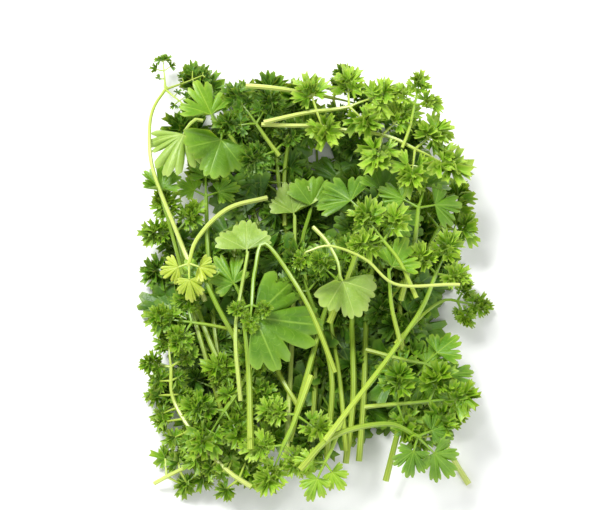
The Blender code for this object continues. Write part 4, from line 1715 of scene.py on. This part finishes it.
@dataclass(frozen=True)
class Studio:
    """Pale floor, soft light and the photograph's camera, all sizes in millimetres."""

    elevation: float = 74.0
    distance: float = 600.0
    pixel: float = 0.3825
    image_width: int = 600
    sensor: float = 36.0
    look: tuple = (-8.0, 8.0, 20.0)
    middle: tuple = (0.0, 0.0)
    clip_start: float = 10.0
    floor_size: float = 6000.0
    sky_strength: float = 0.6

    def camera(self) -> None:
        """Makes the camera."""
        raised = math.radians(self.elevation)
        back = Vector((0, -math.cos(raised), math.sin(raised)))
        aim = Vector(self.look) - Vector((*self.middle, 0))
        bpy.ops.object.camera_add(location=(aim + self.distance * back) * MM)
        camera = bpy.context.object
        camera.rotation_euler = (-back).to_track_quat("-Z", "Y").to_euler()
        camera.data.sensor_width = self.sensor
        camera.data.lens = self.distance / self.pixel * self.sensor / self.image_width
        camera.data.clip_start = self.clip_start * MM
        bpy.context.scene.camera = camera

    def floor(self) -> None:
        """Makes the floor, of white paper with hardly any grain."""
        bpy.ops.mesh.primitive_plane_add(size=self.floor_size * MM)
        floor = bpy.context.object
        floor.name = "floor"
        material, tree, shader = new_material("studio_paper", {"Roughness": 0.9})
        place = add_node(tree, "TexCoord")
        grain = add_node(tree, "TexNoise", inputs={"Vector": place.outputs["Object"], "Scale": 40.0})
        colour = add_node(tree, "Mix", {"data_type": "RGBA"}, {
            0: grain.outputs["Fac"], 6: srgb("F4F5F4"), 7: srgb("F6F7F6")})
        tree.links.new(colour.outputs[2], shader.inputs["Base Color"])
        floor.data.materials.append(material)

    def light(self, name: str, place: tuple, size: float, power: float) -> None:
        """Adds a soft square light that faces the bunch.

        Args:
            name: Its name.
            place: Where it hangs.
            size: Length of its side.
            power: Its power in watts.
        """
        bpy.ops.object.light_add(type="AREA", location=Vector(place) * MM)
        lamp = bpy.context.object
        lamp.name = name
        lamp.data.size = size * MM
        lamp.data.energy = power
        lamp.rotation_euler = (-Vector(place)).to_track_quat("-Z", "Y").to_euler()

    def build(self) -> None:
        """Builds the whole studio."""
        self.camera()
        self.floor()
        self.light("key_softbox", (-450, 500, 900), size=420, power=15.0)
        self.light("fill_softbox", (700, -500, 800), size=900, power=5.0)
        world = bpy.data.worlds.new("studio_world")
        world.use_nodes = True
        backdrop = world.node_tree.nodes["Background"]
        backdrop.inputs["Color"].default_value = (1.0, 1.0, 1.0, 1.0)
        backdrop.inputs["Strength"].default_value = self.sky_strength
        bpy.context.scene.world = world
        bpy.context.scene.view_settings.view_transform = "Standard"


# Edges of the blades of each habit, how many blades are modelled with each edge, and their form.
LEAF_FORMS = {
    Habit.CURLY: ((CURLY_EDGE, CURLY_WIDE_EDGE), 8, {
        "rings": 2, "thickness": 0.045, "pleat": 0.1, "lobe_rise": (-0.16, 0.3), "tooth_rise": 0.14,
        "ruffle": 0.06, "waves": 2.5, "cup": 0.08, "droop": 0.0, "fold": (-0.15, 0.36), "core": 0.6}),
    Habit.LOBED: ((THREE_LOBED_EDGE, FIVE_LOBED_EDGE), 6, {"rings": 6, "thickness": 0.02}),
    Habit.PLATE: ((PLATE_EDGE,), 3, {
        "rings": 6, "thickness": 0.02, "pleat": 0.015, "lobe_rise": (-0.05, 0.05), "ruffle": 0.03,
        "fold": (-0.08, 0.1)}),
    Habit.FAN: ((FAN_EDGE,), 5, {"rings": 6, "thickness": 0.02, "ruffle": 0.08, "waves": 3.0, "droop": 0.22}),
    Habit.INNER: ((INNER_EDGE,), 6, {"rings": 2, "thickness": 0.03}),
}


def leaf_patterns() -> dict:
    """Models the leaf blades that are copied.

    Returns:
        The finished blades of each habit.
    """
    made = {habit: [] for habit in LEAF_FORMS}
    for habit, (edges, copies, form) in LEAF_FORMS.items():
        for edge_number, edge in enumerate(edges):
            mark = f"{habit.value} {edge_number}" if len(edges) > 1 else habit.value
            made[habit] += [LeafPattern(edge, seed=f"{mark} {n}", **form).build() for n in range(copies)]
    return made


def main() -> None:
    """Builds the studio and every sprig."""
    logging.basicConfig(level=logging.INFO, format="%(message)s")
    layout = BunchLayout()
    Studio(middle=tuple(layout.middle)).build()
    finishes = Finishes()
    patterns = leaf_patterns()
    triangles = 0
    for one in layout.laid:
        piece = SprigWork(one, layout, patterns).build(finishes)
        count = sum(len(face.vertices) - 2 for face in piece.data.polygons)
        triangles += count
        low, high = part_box("sprig_" + one.sprig.name)
        heights = [vert.co.z / MM for vert in piece.data.vertices]
        LOG.info("%s: %d triangles, %.1f to %.1f mm high, its solid %.1f to %.1f mm",
                 piece.name, count, min(heights), max(heights), low.z / MM, high.z / MM)
    LOG.info("%d pieces, %d triangles", len(layout.laid), triangles)
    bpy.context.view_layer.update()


if __name__ == "__main__":
    main()
